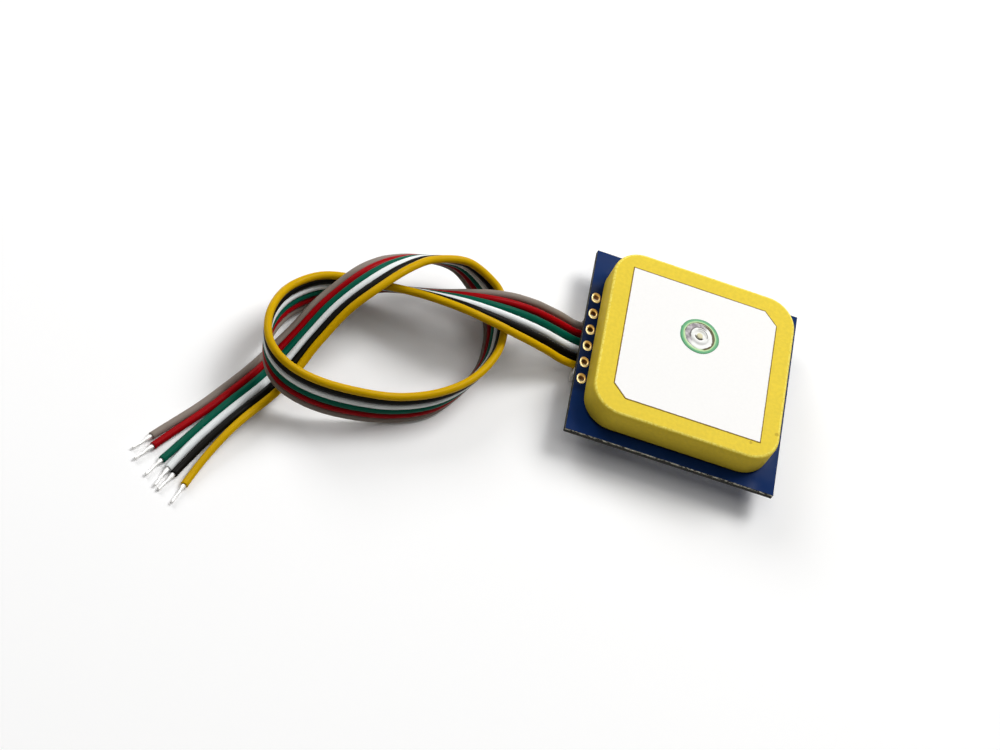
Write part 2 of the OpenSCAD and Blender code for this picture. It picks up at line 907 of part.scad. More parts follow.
circuit_board();
hole_lands();
adhesive_pad();
antenna_ground();
antenna_ceramic();
antenna_electrode();
feed_ring();
feed_solder();
feed_pin();
feed_joint();
shield_can();
receiver_chip();
flash_chip();
clock_oscillator();
clock_crystal();
signal_filter();
signal_amplifier();
voltage_regulator();
chip_capacitors();
chip_resistors();
status_light();
socket_housing();
socket_contacts();
socket_anchors();
plug_housing();
crimp_contacts();
wire_grey();
wire_red();
wire_green();
wire_white();
wire_black();
wire_yellow();
bare_tips();
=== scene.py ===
"""Looks of a satellite positioning module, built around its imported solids.

The module is a square patch antenna on a small circuit board, with a flat lead of six coloured wires in a
loose knot. The file is laid out as an add-on and run as a script. Shapes are worked out in millimetres, in
the frame of the solids, and become metres when a mesh is made.
"""

import json
import math

import bmesh
import bpy
import numpy as np
from bpy.props import FloatProperty, FloatVectorProperty, PointerProperty
from mathutils import Matrix, Vector


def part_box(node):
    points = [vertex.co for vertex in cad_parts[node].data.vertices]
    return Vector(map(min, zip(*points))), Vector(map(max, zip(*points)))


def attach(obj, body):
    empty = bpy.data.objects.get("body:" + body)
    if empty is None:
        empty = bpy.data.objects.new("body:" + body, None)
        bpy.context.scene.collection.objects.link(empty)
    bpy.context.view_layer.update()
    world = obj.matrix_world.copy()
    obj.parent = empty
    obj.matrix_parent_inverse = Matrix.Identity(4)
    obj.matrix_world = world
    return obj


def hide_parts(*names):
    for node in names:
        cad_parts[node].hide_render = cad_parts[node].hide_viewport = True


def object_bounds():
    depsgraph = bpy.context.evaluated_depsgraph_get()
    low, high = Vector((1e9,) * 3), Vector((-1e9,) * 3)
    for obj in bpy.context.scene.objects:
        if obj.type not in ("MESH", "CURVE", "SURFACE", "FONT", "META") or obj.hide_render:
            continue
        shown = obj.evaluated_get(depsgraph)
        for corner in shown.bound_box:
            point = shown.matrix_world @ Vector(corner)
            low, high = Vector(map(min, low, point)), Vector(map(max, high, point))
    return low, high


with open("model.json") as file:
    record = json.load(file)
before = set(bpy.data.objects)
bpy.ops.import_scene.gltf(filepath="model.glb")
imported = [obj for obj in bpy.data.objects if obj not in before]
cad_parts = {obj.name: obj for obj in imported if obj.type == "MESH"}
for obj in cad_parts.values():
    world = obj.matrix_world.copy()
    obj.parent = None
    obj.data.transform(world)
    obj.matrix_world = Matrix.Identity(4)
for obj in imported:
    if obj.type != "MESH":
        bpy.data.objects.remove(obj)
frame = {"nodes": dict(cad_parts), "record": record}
CAD_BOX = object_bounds()

bl_info = {
    "name": "Positioning Module",
    "version": (1, 0, 0),
    "blender": (4, 5, 0),
    "location": "View3D > Sidebar > Module",
    "description": "Dresses the solids of a positioning module with a patch antenna and a ribbon lead",
    "category": "Object",
}

MM = 0.001
TURN = 2 * math.pi
# Points nearer than this are one, in metres
WELD = 1e-7

# Middle of the ribbon: x, y, z and roll. The yellow edge is left of the way at 0 and on top at 90 degrees
STATIONS = np.array([
    [-12.7, 0.25, 1.7, 0], [-13.75, 0.25, 1.8, 0], [-15.15, -0.05, 2.45, -3], [-17.25, -0.55, 3.7, -5],
    [-20.05, -1.3, 5.45, -1], [-23.6, -2.05, 6.9, 6], [-27.35, -2.5, 7.5, 20], [-30.85, -2.45, 7, 34],
    [-35.7, -2.2, 5.4, 51], [-40.2, -2.45, 4.4, 61], [-44.25, -3.15, 3.35, 81], [-48.2, -5, 3, 100],
    [-51.3, -8.55, 3.5, 106], [-52.9, -13.6, 5.3, 104], [-52.4, -17.85, 6, 100], [-50.1, -20.35, 5.95, 91],
    [-46.5, -21.1, 5.3, 87], [-41.65, -20.4, 4.2, 85], [-35.85, -18.6, 3.25, 87], [-30.8, -16, 3.25, 89],
    [-27.3, -12.1, 3.2, 99], [-25.1, -7.4, 3.1, 101], [-24.75, -3.1, 3, 100], [-25.35, 0.2, 3.05, 99],
    [-27.4, 2.5, 3.9, 88], [-31.6, 3.4, 6.05, 67], [-36.5, 1.5, 7.4, 54], [-39.95, -1.6, 8.7, 41],
    [-43.05, -5.2, 8.6, 32], [-46, -8.8, 6.2, 34], [-48.2, -12.7, 3.65, 35], [-50, -16.25, 2, 25],
    [-51.8, -19.55, 1.25, 17], [-54.4, -23.8, 1.3, 16],
])
# Stations between which the wires close up, from the plug's spacing to the ribbon's
MERGE_FIRST, MERGE_LAST = 4, 8
# Station at which the wires leave the plug, and their way there
PLUG_WAY = (-1, 0, 0)

# Ends of the six jackets on the surface: x, y and the heading of the bare tip
JACKET_ENDS = np.array([
    [-62.7, -31.1, 234], [-62.2, -32.35, 236], [-60.75, -33.8, 241],
    [-59.75, -34.7, 249], [-58.95, -35.2, 246], [-57.4, -36.2, 253],
])
WIRES = ("grey", "red", "green", "white", "black", "yellow")


def paint(red, green, blue):
    """Linear colour of a paint that is given by its screen values, from 0 to 255."""
    c = np.array([red, green, blue]) / 255
    return tuple(np.where(c <= 0.04045, c / 12.92, ((c + 0.055) / 1.055) ** 2.4).tolist())


def shade(colour, share):
    """The colour, made darker or lighter by that share."""
    return tuple(min(1.0, c * share) for c in colour)


def length(name, description, millimetres):
    """Property that holds a length."""
    return FloatProperty(
        name=name, description=description, default=millimetres * MM, min=0.0, precision=5, unit="LENGTH"
    )


def angle(name, description, degrees):
    """Property that holds an angle."""
    return FloatProperty(name=name, description=description, default=math.radians(degrees), subtype="ANGLE")


def tone(name, description, *screen):
    """Property that holds a colour, given by its screen values."""
    return FloatVectorProperty(
        name=name, description=description, default=paint(*screen), min=0.0, max=1.0, subtype="COLOR"
    )


def spot(name, description, *metres):
    """Property that holds a place."""
    return FloatVectorProperty(
        name=name, description=description, default=metres, subtype="XYZ", unit="LENGTH"
    )


def power(name, description, watts):
    """Property that holds a lamp's power."""
    return FloatProperty(name=name, description=description, default=watts, min=0.0, unit="POWER")


def glow(name, description, strength):
    """Property that holds a brightness, where 1 is white."""
    return FloatProperty(name=name, description=description, default=strength, min=0.0)


class LeadSettings(bpy.types.PropertyGroup):
    """Sizes and colours of the flat lead."""

    wire_d: length("Wire", "Diameter of a loose wire over its jacket", 0.95)
    ribbon_d: length("Ribbon", "Thickness of the flat ribbon of bonded wires", 1.0)
    ribbon_pitch: length("Spacing", "Spacing of the wires in the ribbon", 1.0)
    contact_pitch: length("Plug spacing", "Spacing of the wires where they leave the plug", 1.25)
    tip_d: length("Tip", "Width of a bare tip where it leaves its jacket", 0.56)
    tip_end_d: length("Tip end", "Width of a bare tip near its end", 0.36)
    tip_l: length("Tip length", "Length of a bare tip", 2.9)
    grey: tone("Grey", "Colour of the grey jacket", 138, 127, 118)
    red: tone("Red", "Colour of the red jacket", 153, 0, 10)
    green: tone("Green", "Colour of the green jacket", 0, 85, 66)
    white: tone("White", "Colour of the white jacket", 236, 240, 240)
    black: tone("Black", "Colour of the black jacket", 10, 9, 7)
    yellow: tone("Yellow", "Colour of the yellow jacket", 205, 162, 0)


class AntennaSettings(bpy.types.PropertyGroup):
    """Sizes and colours of the patch antenna and its feed point."""

    corner_r: length("Corner", "Radius of the block's upright corners", 4.0)
    edge_r: length("Top edge", "Rounding of the block's top edge", 0.45)
    foot_r: length("Bottom edge", "Rounding of the block's bottom edge", 0.2)
    pin_hole_r: length("Pin hole", "Radius of the hole for the feed pin", 0.55)
    clip: length("Clip", "Leg of the electrode's two clipped corners", 1.8)
    outline: length("Outline", "Width of the brown line around the electrode", 0.13)
    ring_r: length("Ring", "Outer radius of the printed ring", 2.6)
    pool_r: length("Pool", "Radius of the solder pool inside the ring", 2.0)
    ceramic: tone("Ceramic", "Colour of the ceramic block", 236, 208, 66)
    silver: tone("Silver", "Colour of the silver electrode", 251, 250, 248)
    line: tone("Line", "Colour of the line around the electrode", 126, 98, 34)
    ring: tone("Ring", "Colour of the printed ring", 112, 182, 134)


class BoardSettings(bpy.types.PropertyGroup):
    """Sizes and colours of the circuit board."""

    land_w: length("Land", "Width of a hole's copper land", 1.2)
    land_stretch: length("Land stretch", "Extra length of a land along the row", 0.35)
    hole_d: length("Hole", "Diameter of the plating inside a hole", 0.74)
    burr: length("Burr", "Reach of the rough fibres along the board's front edge", 0.1)
    mask: tone("Mask", "Colour of the board's blue coating", 13, 42, 92)
    core: tone("Core", "Colour of the board's cut glass-fibre edge", 150, 150, 138)
    gold: tone("Gold", "Colour of the plated lands", 255, 232, 172)


class StageSettings(bpy.types.PropertyGroup):
    """Camera, light and floor."""

    camera: spot("Camera", "Place of the camera", -0.0851, -0.2156, 0.3003)
    azimuth: angle("Azimuth", "Turn of the camera's way from the board's depth towards its right", 16.66)
    elevation: angle("Elevation", "Slope of the camera's way below the level", 54.0)
    roll: angle("Roll", "Turn of the camera about its way", 31.8)
    lens: FloatProperty(
        name="Lens", description="Focal length on a sensor 36 mm wide", default=106.01, unit="CAMERA"
    )
    key_place: spot("Key light", "Place of the soft box at the back right", 0.331, 0.412, 0.709)
    key_size: length("Key size", "Width of the soft box at the back right", 420)
    key_power: power("Key power", "Power of the soft box at the back right", 5.45)
    side_place: spot("Side light", "Place of the low soft box at the back left", -0.546, 0.509, 0.516)
    side_size: length("Side size", "Width of the low soft box at the back left", 420)
    side_power: power("Side power", "Power of the low soft box at the back left", 2.85)
    top_place: spot("Top light", "Place of the soft box overhead", -0.02, 0.08, 0.9)
    top_size: length("Top size", "Width of the soft box overhead", 900)
    top_power: power("Top power", "Power of the soft box overhead", 2.6)
    sky: glow("Sky", "Brightness of the light from all round", 0.06)
    sky_tint: tone("Sky colour", "Colour of the light from all round", 255, 251, 246)
    floor: tone("Floor", "Colour of the floor for the light that it sends on", 212, 210, 206)
    floor_glow: glow("Floor glow", "Own brightness of the seen floor, which lets faint shadows fade", 0.03)


class ModuleSettings(bpy.types.PropertyGroup):
    """All that a user would change on the module."""

    lead: PointerProperty(type=LeadSettings)
    antenna: PointerProperty(type=AntennaSettings)
    board: PointerProperty(type=BoardSettings)
    stage: PointerProperty(type=StageSettings)


def settings():
    """The module's settings in this scene."""
    return bpy.context.scene.positioning_module


def box_mm(node):
    """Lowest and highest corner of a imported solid, in millimetres."""
    return tuple(np.array(corner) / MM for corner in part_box(node))


def foot_mm(node):
    """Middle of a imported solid's underside, in millimetres."""
    low, high = box_mm(node)
    return np.array([*((low + high) / 2)[:2], low[2]])


class Finish:
    """A node material: its shader with plain sockets set, and short calls for the nodes that paint it."""

    SOCKETS = {"metallic": "Metallic", "specular": "Specular IOR Level"}

    def __init__(self, name, colour, roughness, **sockets):
        self.material = bpy.data.materials.new(name)
        self.material.use_nodes = True
        self.tree = self.material.node_tree
        self.shader = self.tree.nodes["Principled BSDF"]
        self.feed(self.shader.inputs["Base Color"], colour)
        self.feed(self.shader.inputs["Roughness"], roughness)
        for word, value in sockets.items():
            self.feed(self.shader.inputs[self.SOCKETS[word]], value)
        coordinates = self.add("TexCoord")
        self.place, self.map = coordinates.outputs["Object"], coordinates.outputs["UV"]

    def feed(self, socket, value):
        """Links an output to a socket, or sets the socket to a plain value."""
        if isinstance(value, bpy.types.NodeSocket):
            self.tree.links.new(value, socket)
        elif socket.type == "RGBA":
            socket.default_value = (*value[:3], 1.0)
        else:
            socket.default_value = value

    def add(self, kind, inputs=None, **options):
        """A new node of that kind, with its options and inputs."""
        node = self.tree.nodes.new("ShaderNode" + kind)
        for name, value in options.items():
            setattr(node, name, value)
        for key, value in (inputs or {}).items():
            self.feed(node.inputs[key], value)
        return node

    def noise(self, size, detail=2.0, stretch=None):
        """Cloudy pattern from 0 to 1. Its spots are about that size in millimetres, times the stretch."""
        vector = self.place
        if stretch:
            vector = self.add("Mapping", {"Vector": vector, "Scale": [1 / s for s in stretch]}).outputs[0]
        inputs = {"Vector": vector, "Scale": 1 / (size * MM), "Detail": detail}
        return self.add("TexNoise", inputs).outputs[0]

    def axes(self, source=None):
        """The three coordinates of a place, one by one."""
        return self.add("SeparateXYZ", {0: source or self.place}).outputs

    def sum(self, operation, a, b=0.0):
        """One step of arithmetic."""
        return self.add("Math", {0: a, 1: b}, operation=operation).outputs[0]

    def step(self, value, low, high, start=0.0, end=1.0):
        """Smooth step from start to end while the value goes from low to high."""
        inputs = {0: value, 1: low, 2: high, 3: start, 4: end}
        return self.add("MapRange", inputs, interpolation_type="SMOOTHSTEP").outputs[0]

    def blend(self, share, a, b):
        """Colour a where the share is 0 and b where it is 1."""
        # Inputs 6 and 7 of a mix node are its colours, and output 2 is their blend
        return self.add("Mix", {0: share, 6: a, 7: b}, data_type="RGBA").outputs[2]

    def beyond(self, coordinate, middle, reach, soft=0.02):
        """1 further than that reach from the middle, 0 nearer, all in millimetres."""
        away = self.sum("ABSOLUTE", self.sum("SUBTRACT", coordinate, middle * MM))
        return self.step(away, (reach - soft) * MM, (reach + soft) * MM)

    def band(self, value, low, high, soft):
        """1 from low to high, with soft limits."""
        rise = self.step(value, low - soft, low + soft)
        fall = self.step(value, high - soft, high + soft, 1, 0)
        return self.sum("MULTIPLY", rise, fall)

    def polar(self, centre):
        """Distance in millimetres from an upright line through the centre, and the angle about it."""
        x, y = (self.sum("SUBTRACT", c, m * MM) for c, m in zip(self.axes()[:2], centre))
        squares = self.sum("ADD", self.sum("MULTIPLY", x, x), self.sum("MULTIPLY", y, y))
        return self.sum("DIVIDE", self.sum("SQRT", squares), MM), self.sum("ARCTAN2", y, x)

    def facing(self, turn, degrees, low, high):
        """Smooth step from 0 to 1 while the cosine of the angle to that direction goes from low to high."""
        away = self.sum("SUBTRACT", turn, math.radians(degrees))
        return self.step(self.sum("COSINE", away), low, high)

    def ragged(self, value, size, reach):
        """The value, moved up and down by a cloudy pattern."""
        wave = self.sum("SUBTRACT", self.noise(size, 3), 0.5)
        return self.sum("ADD", value, self.sum("MULTIPLY", wave, reach))

    def colour(self, value):
        """Paints the shader."""
        self.feed(self.shader.inputs["Base Color"], value)
        return self

    def rough(self, value, low, high):
        """Roughness that follows a pattern."""
        self.feed(self.shader.inputs["Roughness"], self.step(value, 0.3, 0.7, low, high))
        return self

    def metal(self, value):
        """Metal where the pattern is 1."""
        self.feed(self.shader.inputs["Metallic"], value)
        return self

    def bump(self, value, depth):
        """Fine relief of that depth in millimetres."""
        node = self.add("Bump", {"Height": value, "Distance": depth * MM, "Strength": 1.0})
        self.feed(self.shader.inputs["Normal"], node.outputs[0])
        return self


def satin(name, colour, roughness, cloud, size, grain, depth):
    """Moulded plastic or glaze: slight clouds in the colour, uneven gloss and a fine grain."""
    f = Finish(name, colour, roughness)
    clouds = f.noise(size, 3)
    f.colour(f.blend(clouds, shade(colour, 1 - cloud), shade(colour, 1 + cloud)))
    f.rough(f.noise(size / 2), roughness - 0.07, roughness + 0.07)
    return f.bump(f.noise(grain, 2), depth).material


def bright(name, colour, roughness, size, stretch=None, depth=0.004):
    """Bare or plated metal: dull patches, streaks along the way that it was drawn, and a fine relief."""
    f = Finish(name, colour, roughness, metallic=1.0)
    streaks = f.noise(size, 4, stretch)
    f.colour(f.blend(streaks, shade(colour, 0.84), shade(colour, 1.08)))
    f.rough(streaks, roughness - 0.08, roughness + 0.1)
    return f.bump(f.noise(size / 4, 3, stretch), depth).material


def ended(name, colour, roughness, middle, reach):
    """Small chip parts: dull, and tinned further than that reach from the middle of those in sight."""
    f = Finish(name, colour, roughness)
    ends = f.beyond(f.axes()[1], middle, reach)
    clouds = f.noise(0.3, 3)
    body = f.blend(clouds, shade(colour, 0.85), shade(colour, 1.12))
    f.colour(f.blend(ends, body, (0.76, 0.75, 0.72))).metal(ends)
    return f.rough(clouds, roughness - 0.1, roughness + 0.1).material


def dress(node, finish):
    """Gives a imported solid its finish."""
    slots = frame["nodes"][node].data.materials
    slots.clear()
    slots.append(finish)


def put_piece(name, grids, finish, replaced=(), crease=38):
    """Joins grids of points into one closed piece that rides on the module.

    A grid is an array of rows and columns of points. Its columns close into rings, and its rows close as
    well where the grid comes with True. Points that meet are merged, which closes seams and poles.
    """
    corners, faces, maps, count = [], [], [], 0
    for grid in grids:
        points, loop = grid if isinstance(grid, tuple) else (grid, False)
        rows, cols = points.shape[:2]
        i, j = np.mgrid[0 : rows - 1 + loop, 0:cols]
        i, j = np.stack([i, i, i + 1, i + 1], -1), np.stack([j, j + 1, j + 1, j], -1)
        faces.append((count + i % rows * cols + j % cols).reshape(-1, 4))
        maps.append(np.stack([j / cols, i / (rows - 1 + loop)], -1).reshape(-1, 2))
        corners.append(points.reshape(-1, 3))
        count += rows * cols
    mesh = bpy.data.meshes.new(name)
    mesh.from_pydata((np.vstack(corners) * MM).tolist(), [], np.vstack(faces).tolist())
    mesh.uv_layers.new(name="Surface").data.foreach_set("uv", np.vstack(maps).astype(np.float32).ravel())
    work = bmesh.new()
    work.from_mesh(mesh)
    bmesh.ops.remove_doubles(work, verts=work.verts, dist=WELD)
    bmesh.ops.recalc_face_normals(work, faces=work.faces)
    work.to_mesh(mesh)
    work.free()
    mesh.shade_smooth()
    mesh.set_sharp_from_angle(angle=math.radians(crease))
    mesh.materials.append(finish)
    piece = bpy.data.objects.new(name, mesh)
    bpy.context.scene.collection.objects.link(piece)
    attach(piece, "root")
    if replaced:
        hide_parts(*replaced)
    return piece


def unit(v):
    """Vectors of length 1 along these."""
    return v / np.linalg.norm(v, axis=-1, keepdims=True)


def smooth_curve(points, per_span):
    """Places on the curve through the points.

    Between b and c, with a before them and d after, a place is half of
    2b + (c - a)t + (2a - 5b + 4c - d)tt + (3b - a - 3c + d)ttt. Each end is carried on in line.
    """
    ends = np.vstack([2 * points[0] - points[1], points, 2 * points[-1] - points[-2]])
    spans = len(points) - 1
    a, b, c, d = (ends[k : k + spans, None] for k in range(4))
    t = np.arange(per_span)[None, :, None] / per_span
    square, cube = 2 * a - 5 * b + 4 * c - d, 3 * b - a - 3 * c + d
    curve = 0.5 * (2 * b + (c - a) * t + square * t**2 + cube * t**3)
    return np.vstack([curve.reshape(-1, points.shape[1]), points[-1:]])


def rings(places, ways, sides, radii, cols):
    """Rings of points around places: place + radius (cos q u + sin q v).

    u is the side direction, square to the way, and v is square to both. The radii hold a number for each
    ring, or a number for each point of each ring.
    """
    u = unit(sides - ways * np.sum(ways * sides, -1, keepdims=True))
    v = np.cross(ways, u)
    q = np.arange(cols) * TURN / cols
    turned = np.cos(q)[None, :, None] * u[:, None] + np.sin(q)[None, :, None] * v[:, None]
    return places[:, None] + np.reshape(radii, (len(places), -1))[..., None] * turned


def turned_piece(profile, centre, cols, wobble=None):
    """Profile of radius and height turned about an upright line, with radii times 1 + wobble(angle)."""
    q = np.arange(cols) * TURN / cols
    r = profile[:, :1] * (1 + (wobble(q) if wobble else 0 * q))
    flat = [centre[0] + r * np.cos(q), centre[1] + r * np.sin(q), centre[2] + profile[:, 1:] + 0 * q]
    return np.stack(flat, -1)


def arc(centre, radius, start, end, count=7):
    """Points of an arc about a centre, from one angle to another in degrees."""
    q = np.radians(np.linspace(start, end, count))[:, None]
    return np.array(centre) + radius * np.hstack([np.cos(q), np.sin(q)])


def rounded_square(half, radius, per_corner=14, per_side=16):
    """Outline of a square with round corners, and its outward directions.

    Each corner is a quarter circle about (half - radius) on both axes. Straight lines join the quarters.
    """
    q = np.linspace(0, TURN / 4, per_corner) + np.arange(4)[:, None] * TURN / 4
    out = np.stack([np.cos(q), np.sin(q)], -1)
    middle = (half - radius) * np.sign(np.stack([np.cos(q.mean(1)), np.sin(q.mean(1))], -1))
    arcs = middle[:, None] + radius * out
    t = np.linspace(0, 1, per_side + 2)[None, 1:-1, None]
    sides = arcs[:, -1:] * (1 - t) + np.roll(arcs, -1, 0)[:, :1] * t
    points = np.concatenate([arcs, sides], 1).reshape(-1, 2)
    return points, np.concatenate([out, out[:, -1:] + 0 * sides], 1).reshape(-1, 2)


class GPS_OT_stage(bpy.types.Operator):
    """Make the camera, the light and the pale floor"""

    bl_idname = "gps_module.stage"
    bl_label = "Stage"

    # Half the floor's width, and the nearest and furthest sight of the camera, in metres
    FLOOR_REACH = 3.0
    SIGHT = (0.01, 10.0)
    # Width of the camera's sensor, in millimetres
    SENSOR = 36.0

    def seen(self, tree):
        """1 for rays from the eye, off gloss and through clear pieces, 0 for light that surfaces gather."""
        light = tree.nodes.new("ShaderNodeLightPath")
        value = light.outputs["Is Camera Ray"]
        for name in ("Is Glossy Ray", "Is Transmission Ray"):
            node = tree.nodes.new("ShaderNodeMath")
            node.operation = "MAXIMUM"
            tree.links.new(value, node.inputs[0])
            tree.links.new(light.outputs[name], node.inputs[1])
            value = node.outputs[0]
        return value

    def make_sky(self, s, scene):
        """A world that looks white and sheds a little light from all round."""
        scene.world = bpy.data.worlds.new("studio")
        scene.world.use_nodes = True
        tree = scene.world.node_tree
        strength = tree.nodes.new("ShaderNodeMapRange")
        strength.inputs["To Min"].default_value = s.sky
        strength.inputs["To Max"].default_value = 1.0
        tree.links.new(self.seen(tree), strength.inputs["Value"])
        tree.nodes["Background"].inputs["Color"].default_value = (*s.sky_tint, 1)
        tree.links.new(strength.outputs[0], tree.nodes["Background"].inputs["Strength"])

    def make_floor(self, s, scene):
        """A level square that looks white and keeps the shadows, and sends on light in its own colour."""
        f = Finish("pale_floor", s.floor, 1.0, specular=0.0)
        eye = self.seen(f.tree)
        f.colour(f.blend(eye, s.floor, (1, 1, 1)))
        f.feed(f.shader.inputs["Emission Color"], (1, 1, 1))
        f.feed(f.shader.inputs["Emission Strength"], f.sum("MULTIPLY", eye, s.floor_glow))
        mesh = bpy.data.meshes.new("floor")
        corners = self.FLOOR_REACH * np.array([[-1, -1, 0], [1, -1, 0], [1, 1, 0], [-1, 1, 0]])
        mesh.from_pydata(corners.tolist(), [], [(0, 1, 2, 3)])
        mesh.materials.append(f.material)
        floor = bpy.data.objects.new("floor", mesh)
        scene.collection.objects.link(floor)

    def soft_box(self, name, place, size, power):
        """A square lamp that faces the middle of the module."""
        lamp = bpy.data.lights.new(name, "AREA")
        lamp.size, lamp.energy = size, power
        light = bpy.data.objects.new(name, lamp)
        light.location = place
        way = (CAD_BOX[0] + CAD_BOX[1]) / 2 - Vector(place)
        light.rotation_euler = way.to_track_quat("-Z", "Y").to_euler()
        bpy.context.scene.collection.objects.link(light)

    def make_camera(self, s, scene):
        """The camera at its place, with its level right and its rise turned about its way by the roll."""
        az, el, roll = s.azimuth, s.elevation, s.roll
        level = np.array([math.cos(az), -math.sin(az), 0])
        rise = np.array([math.sin(az) * math.sin(el), math.cos(az) * math.sin(el), math.cos(el)])
        right = math.cos(roll) * level + math.sin(roll) * rise
        up = math.cos(roll) * rise - math.sin(roll) * level
        lens = bpy.data.cameras.new("camera")
        lens.lens, lens.sensor_width, lens.sensor_fit = s.lens, self.SENSOR, "HORIZONTAL"
        lens.clip_start, lens.clip_end = self.SIGHT
        camera = bpy.data.objects.new("camera", lens)
        turn = Matrix(np.stack([right, up, np.cross(right, up)], 1).tolist())
        camera.matrix_world = Matrix.Translation(s.camera) @ turn.to_4x4()
        scene.collection.objects.link(camera)
        scene.camera = camera

    def execute(self, context):
        s = settings().stage
        scene = context.scene
        scene.view_settings.view_transform = "Standard"
        self.make_sky(s, scene)
        self.make_floor(s, scene)
        self.soft_box("key_light", s.key_place, s.key_size, s.key_power)
        self.soft_box("side_light", s.side_place, s.side_size, s.side_power)
        self.soft_box("top_light", s.top_place, s.top_size, s.top_power)
        self.make_camera(s, scene)
        return {"FINISHED"}


class GPS_OT_lead(bpy.types.Operator):
    """Make the six jackets of the flat lead and their bare tips"""

    bl_idname = "gps_module.lead"
    bl_label = "Lead"

    # Steps along a wire from one station to the next and in its free tail, and points around it
    PER_SPAN = 10
    TAIL = 30
    COLS = 20
    # Share of the tail over which a wire goes from the ribbon's thickness to its own
    THINNING = 0.3
    # Cut end of a jacket, from its rim into its bore: share of the radius, and place along the wire
    CUT = np.array([[0.96, -0.02], [0.88, 0], [0.62, 0], [0.58, -0.1], [0.58, -0.4], [0, -0.4]])
    # Distance of the jacket's last full ring from the cut
    SET_BACK = 0.06
    # Depth of a bare tip's root in its jacket, and rings between its root and its end
    ROOT = 0.38
    SHAFT = 38
    # Rounded end of a bare tip: distance from the end, and share of the radius
    ROUNDED = np.array([[0.1, 0.9], [0.05, 0.7], [0.015, 0.4], [0, 0]])

    def wire_lines(self, s):
        """Places, ways and sides of the six wires, from the crimps to the ends of the jackets.

        In the ribbon a wire runs beside the middle curve, at its number from the middle times the spacing,
        along cos(roll) left + sin(roll) up. The spacing closes from the plug's to the ribbon's. The free
        tail goes from a, the ribbon's end, to d, the jacket's end, along the cubic curve
        (1-t)(1-t)(1-t)a + 3(1-t)(1-t)tb + 3(1-t)ttc + tttd. b and c lie in line with the ways at its ends,
        a third of the distance from them.
        """
        pitch, contact = s.ribbon_pitch / MM, s.contact_pitch / MM
        middle = smooth_curve(STATIONS, self.PER_SPAN)
        line, roll = middle[:, :3], np.radians(middle[:, 3:])
        way = unit(np.gradient(line, axis=0))
        way[0] = PLUG_WAY
        left = unit(np.stack([-way[:, 1], way[:, 0], 0 * way[:, 0]], -1))
        across = np.cos(roll) * left + np.sin(roll) * np.cross(way, left)
        number = np.arange(len(line)) / self.PER_SPAN
        loose = np.clip((MERGE_LAST - number) / (MERGE_LAST - MERGE_FIRST), 0, 1)
        spacing = pitch + (contact - pitch) * loose
        side = np.arange(len(WIRES)) - (len(WIRES) - 1) / 2
        ribbon = line + side[:, None, None] * (spacing[:, None] * across)

        heading = np.radians(JACKET_ENDS[:, 2])
        tip = np.stack([np.cos(heading), np.sin(heading), 0 * heading], -1)
        a = ribbon[:, -1]
        d = np.column_stack([JACKET_ENDS[:, :2], np.full(len(WIRES), s.wire_d / MM / 2)])
        reach = np.linalg.norm(d - a, axis=1, keepdims=True) / 3
        b, c = a + reach * way[-1], d - reach * tip
        t = (np.arange(self.TAIL) + 1)[None, :, None] / self.TAIL
        a, b, c, d = (p[:, None] for p in (a, b, c, d))
        tail = (1 - t) ** 3 * a + 3 * (1 - t) ** 2 * t * b + 3 * (1 - t) * t**2 * c + t**3 * d
        level = np.stack([-tip[:, 1], tip[:, 0], 0 * heading], -1)[:, None]
        sides = np.concatenate([across[None] + 0 * ribbon, (1 - t) * across[-1] + t * level], 1)
        places = np.concatenate([ribbon, tail], 1)
        ways = unit(np.gradient(places, axis=1))
        ways[:, 0], ways[:, -1] = PLUG_WAY, tip
        return places, ways, sides

    def jacket(self, s, places, ways, sides):
        """One jacket: rings along its line, closed in the plug, with a cut end that has room for the tip.

        The radius goes from half the ribbon's thickness to half the loose wire's at the start of the tail,
        and is never more than the height above the surface.
        """
        count = len(places)
        thick, thin = s.ribbon_d / MM / 2, s.wire_d / MM / 2
        thinned = count - self.TAIL * (1 - self.THINNING)
        radius = np.interp(np.arange(count), [count - self.TAIL, thinned], [thick, thin])
        radius = np.minimum(radius, places[:, 2])
        rows = np.concatenate([[0], np.arange(count), np.full(len(self.CUT), count - 1)])
        shift = np.concatenate([np.zeros(count), [-self.SET_BACK], self.CUT[:, 1]])[:, None]
        radii = np.concatenate([[0], radius, thin * self.CUT[:, 0]])
        return rings(places[rows] + shift * ways[rows], ways[rows], sides[rows], radii, self.COLS)

    def tip(self, s, number, place, way, side):
        """One bare tip: strands twisted and tinned, wide by the jacket, then drawn to a thin, rounded end.

        At s along the tip and q around it, the radius is R (1 + 0.05 cos(6q - 3.4s + number)). R goes from
        wide to thin with the power 1.5 of the way along the knee. The place bends aside and sinks with the
        square of s.
        """
        long, wide, thin = s.tip_l / MM, s.tip_d / MM / 2, s.tip_end_d / MM / 2
        shaft = np.linspace(0.03 - self.ROOT, long - 0.17, self.SHAFT)
        along = np.concatenate([[-self.ROOT], shaft, long - self.ROUNDED[:, 0]])
        knee = 0.8 + 0.25 * math.sin(2.4 * number)
        drawn = np.clip((shaft - 0.25) / knee, 0, 1) ** 1.5
        body = np.concatenate([[0], wide + (thin - wide) * drawn, thin * self.ROUNDED[:, 1]])
        q = np.arange(self.COLS) * TURN / self.COLS
        twist = 1 + 0.05 * np.cos(6 * q - along[:, None] * 3.4 + number)
        bend = 0.035 * math.sin(1.7 * number + 0.6) * np.clip(along, 0, None) ** 2 / long
        sink = -0.04 * np.clip(along, 0, None) ** 2 / long
        up = np.array([0, 0, 1.0])
        line = place + along[:, None] * way + bend[:, None] * np.cross(way, up) + sink[:, None] * up
        same = np.ones((len(along), 1))
        return rings(line, same * way, same * side, body[:, None] * twist, self.COLS)

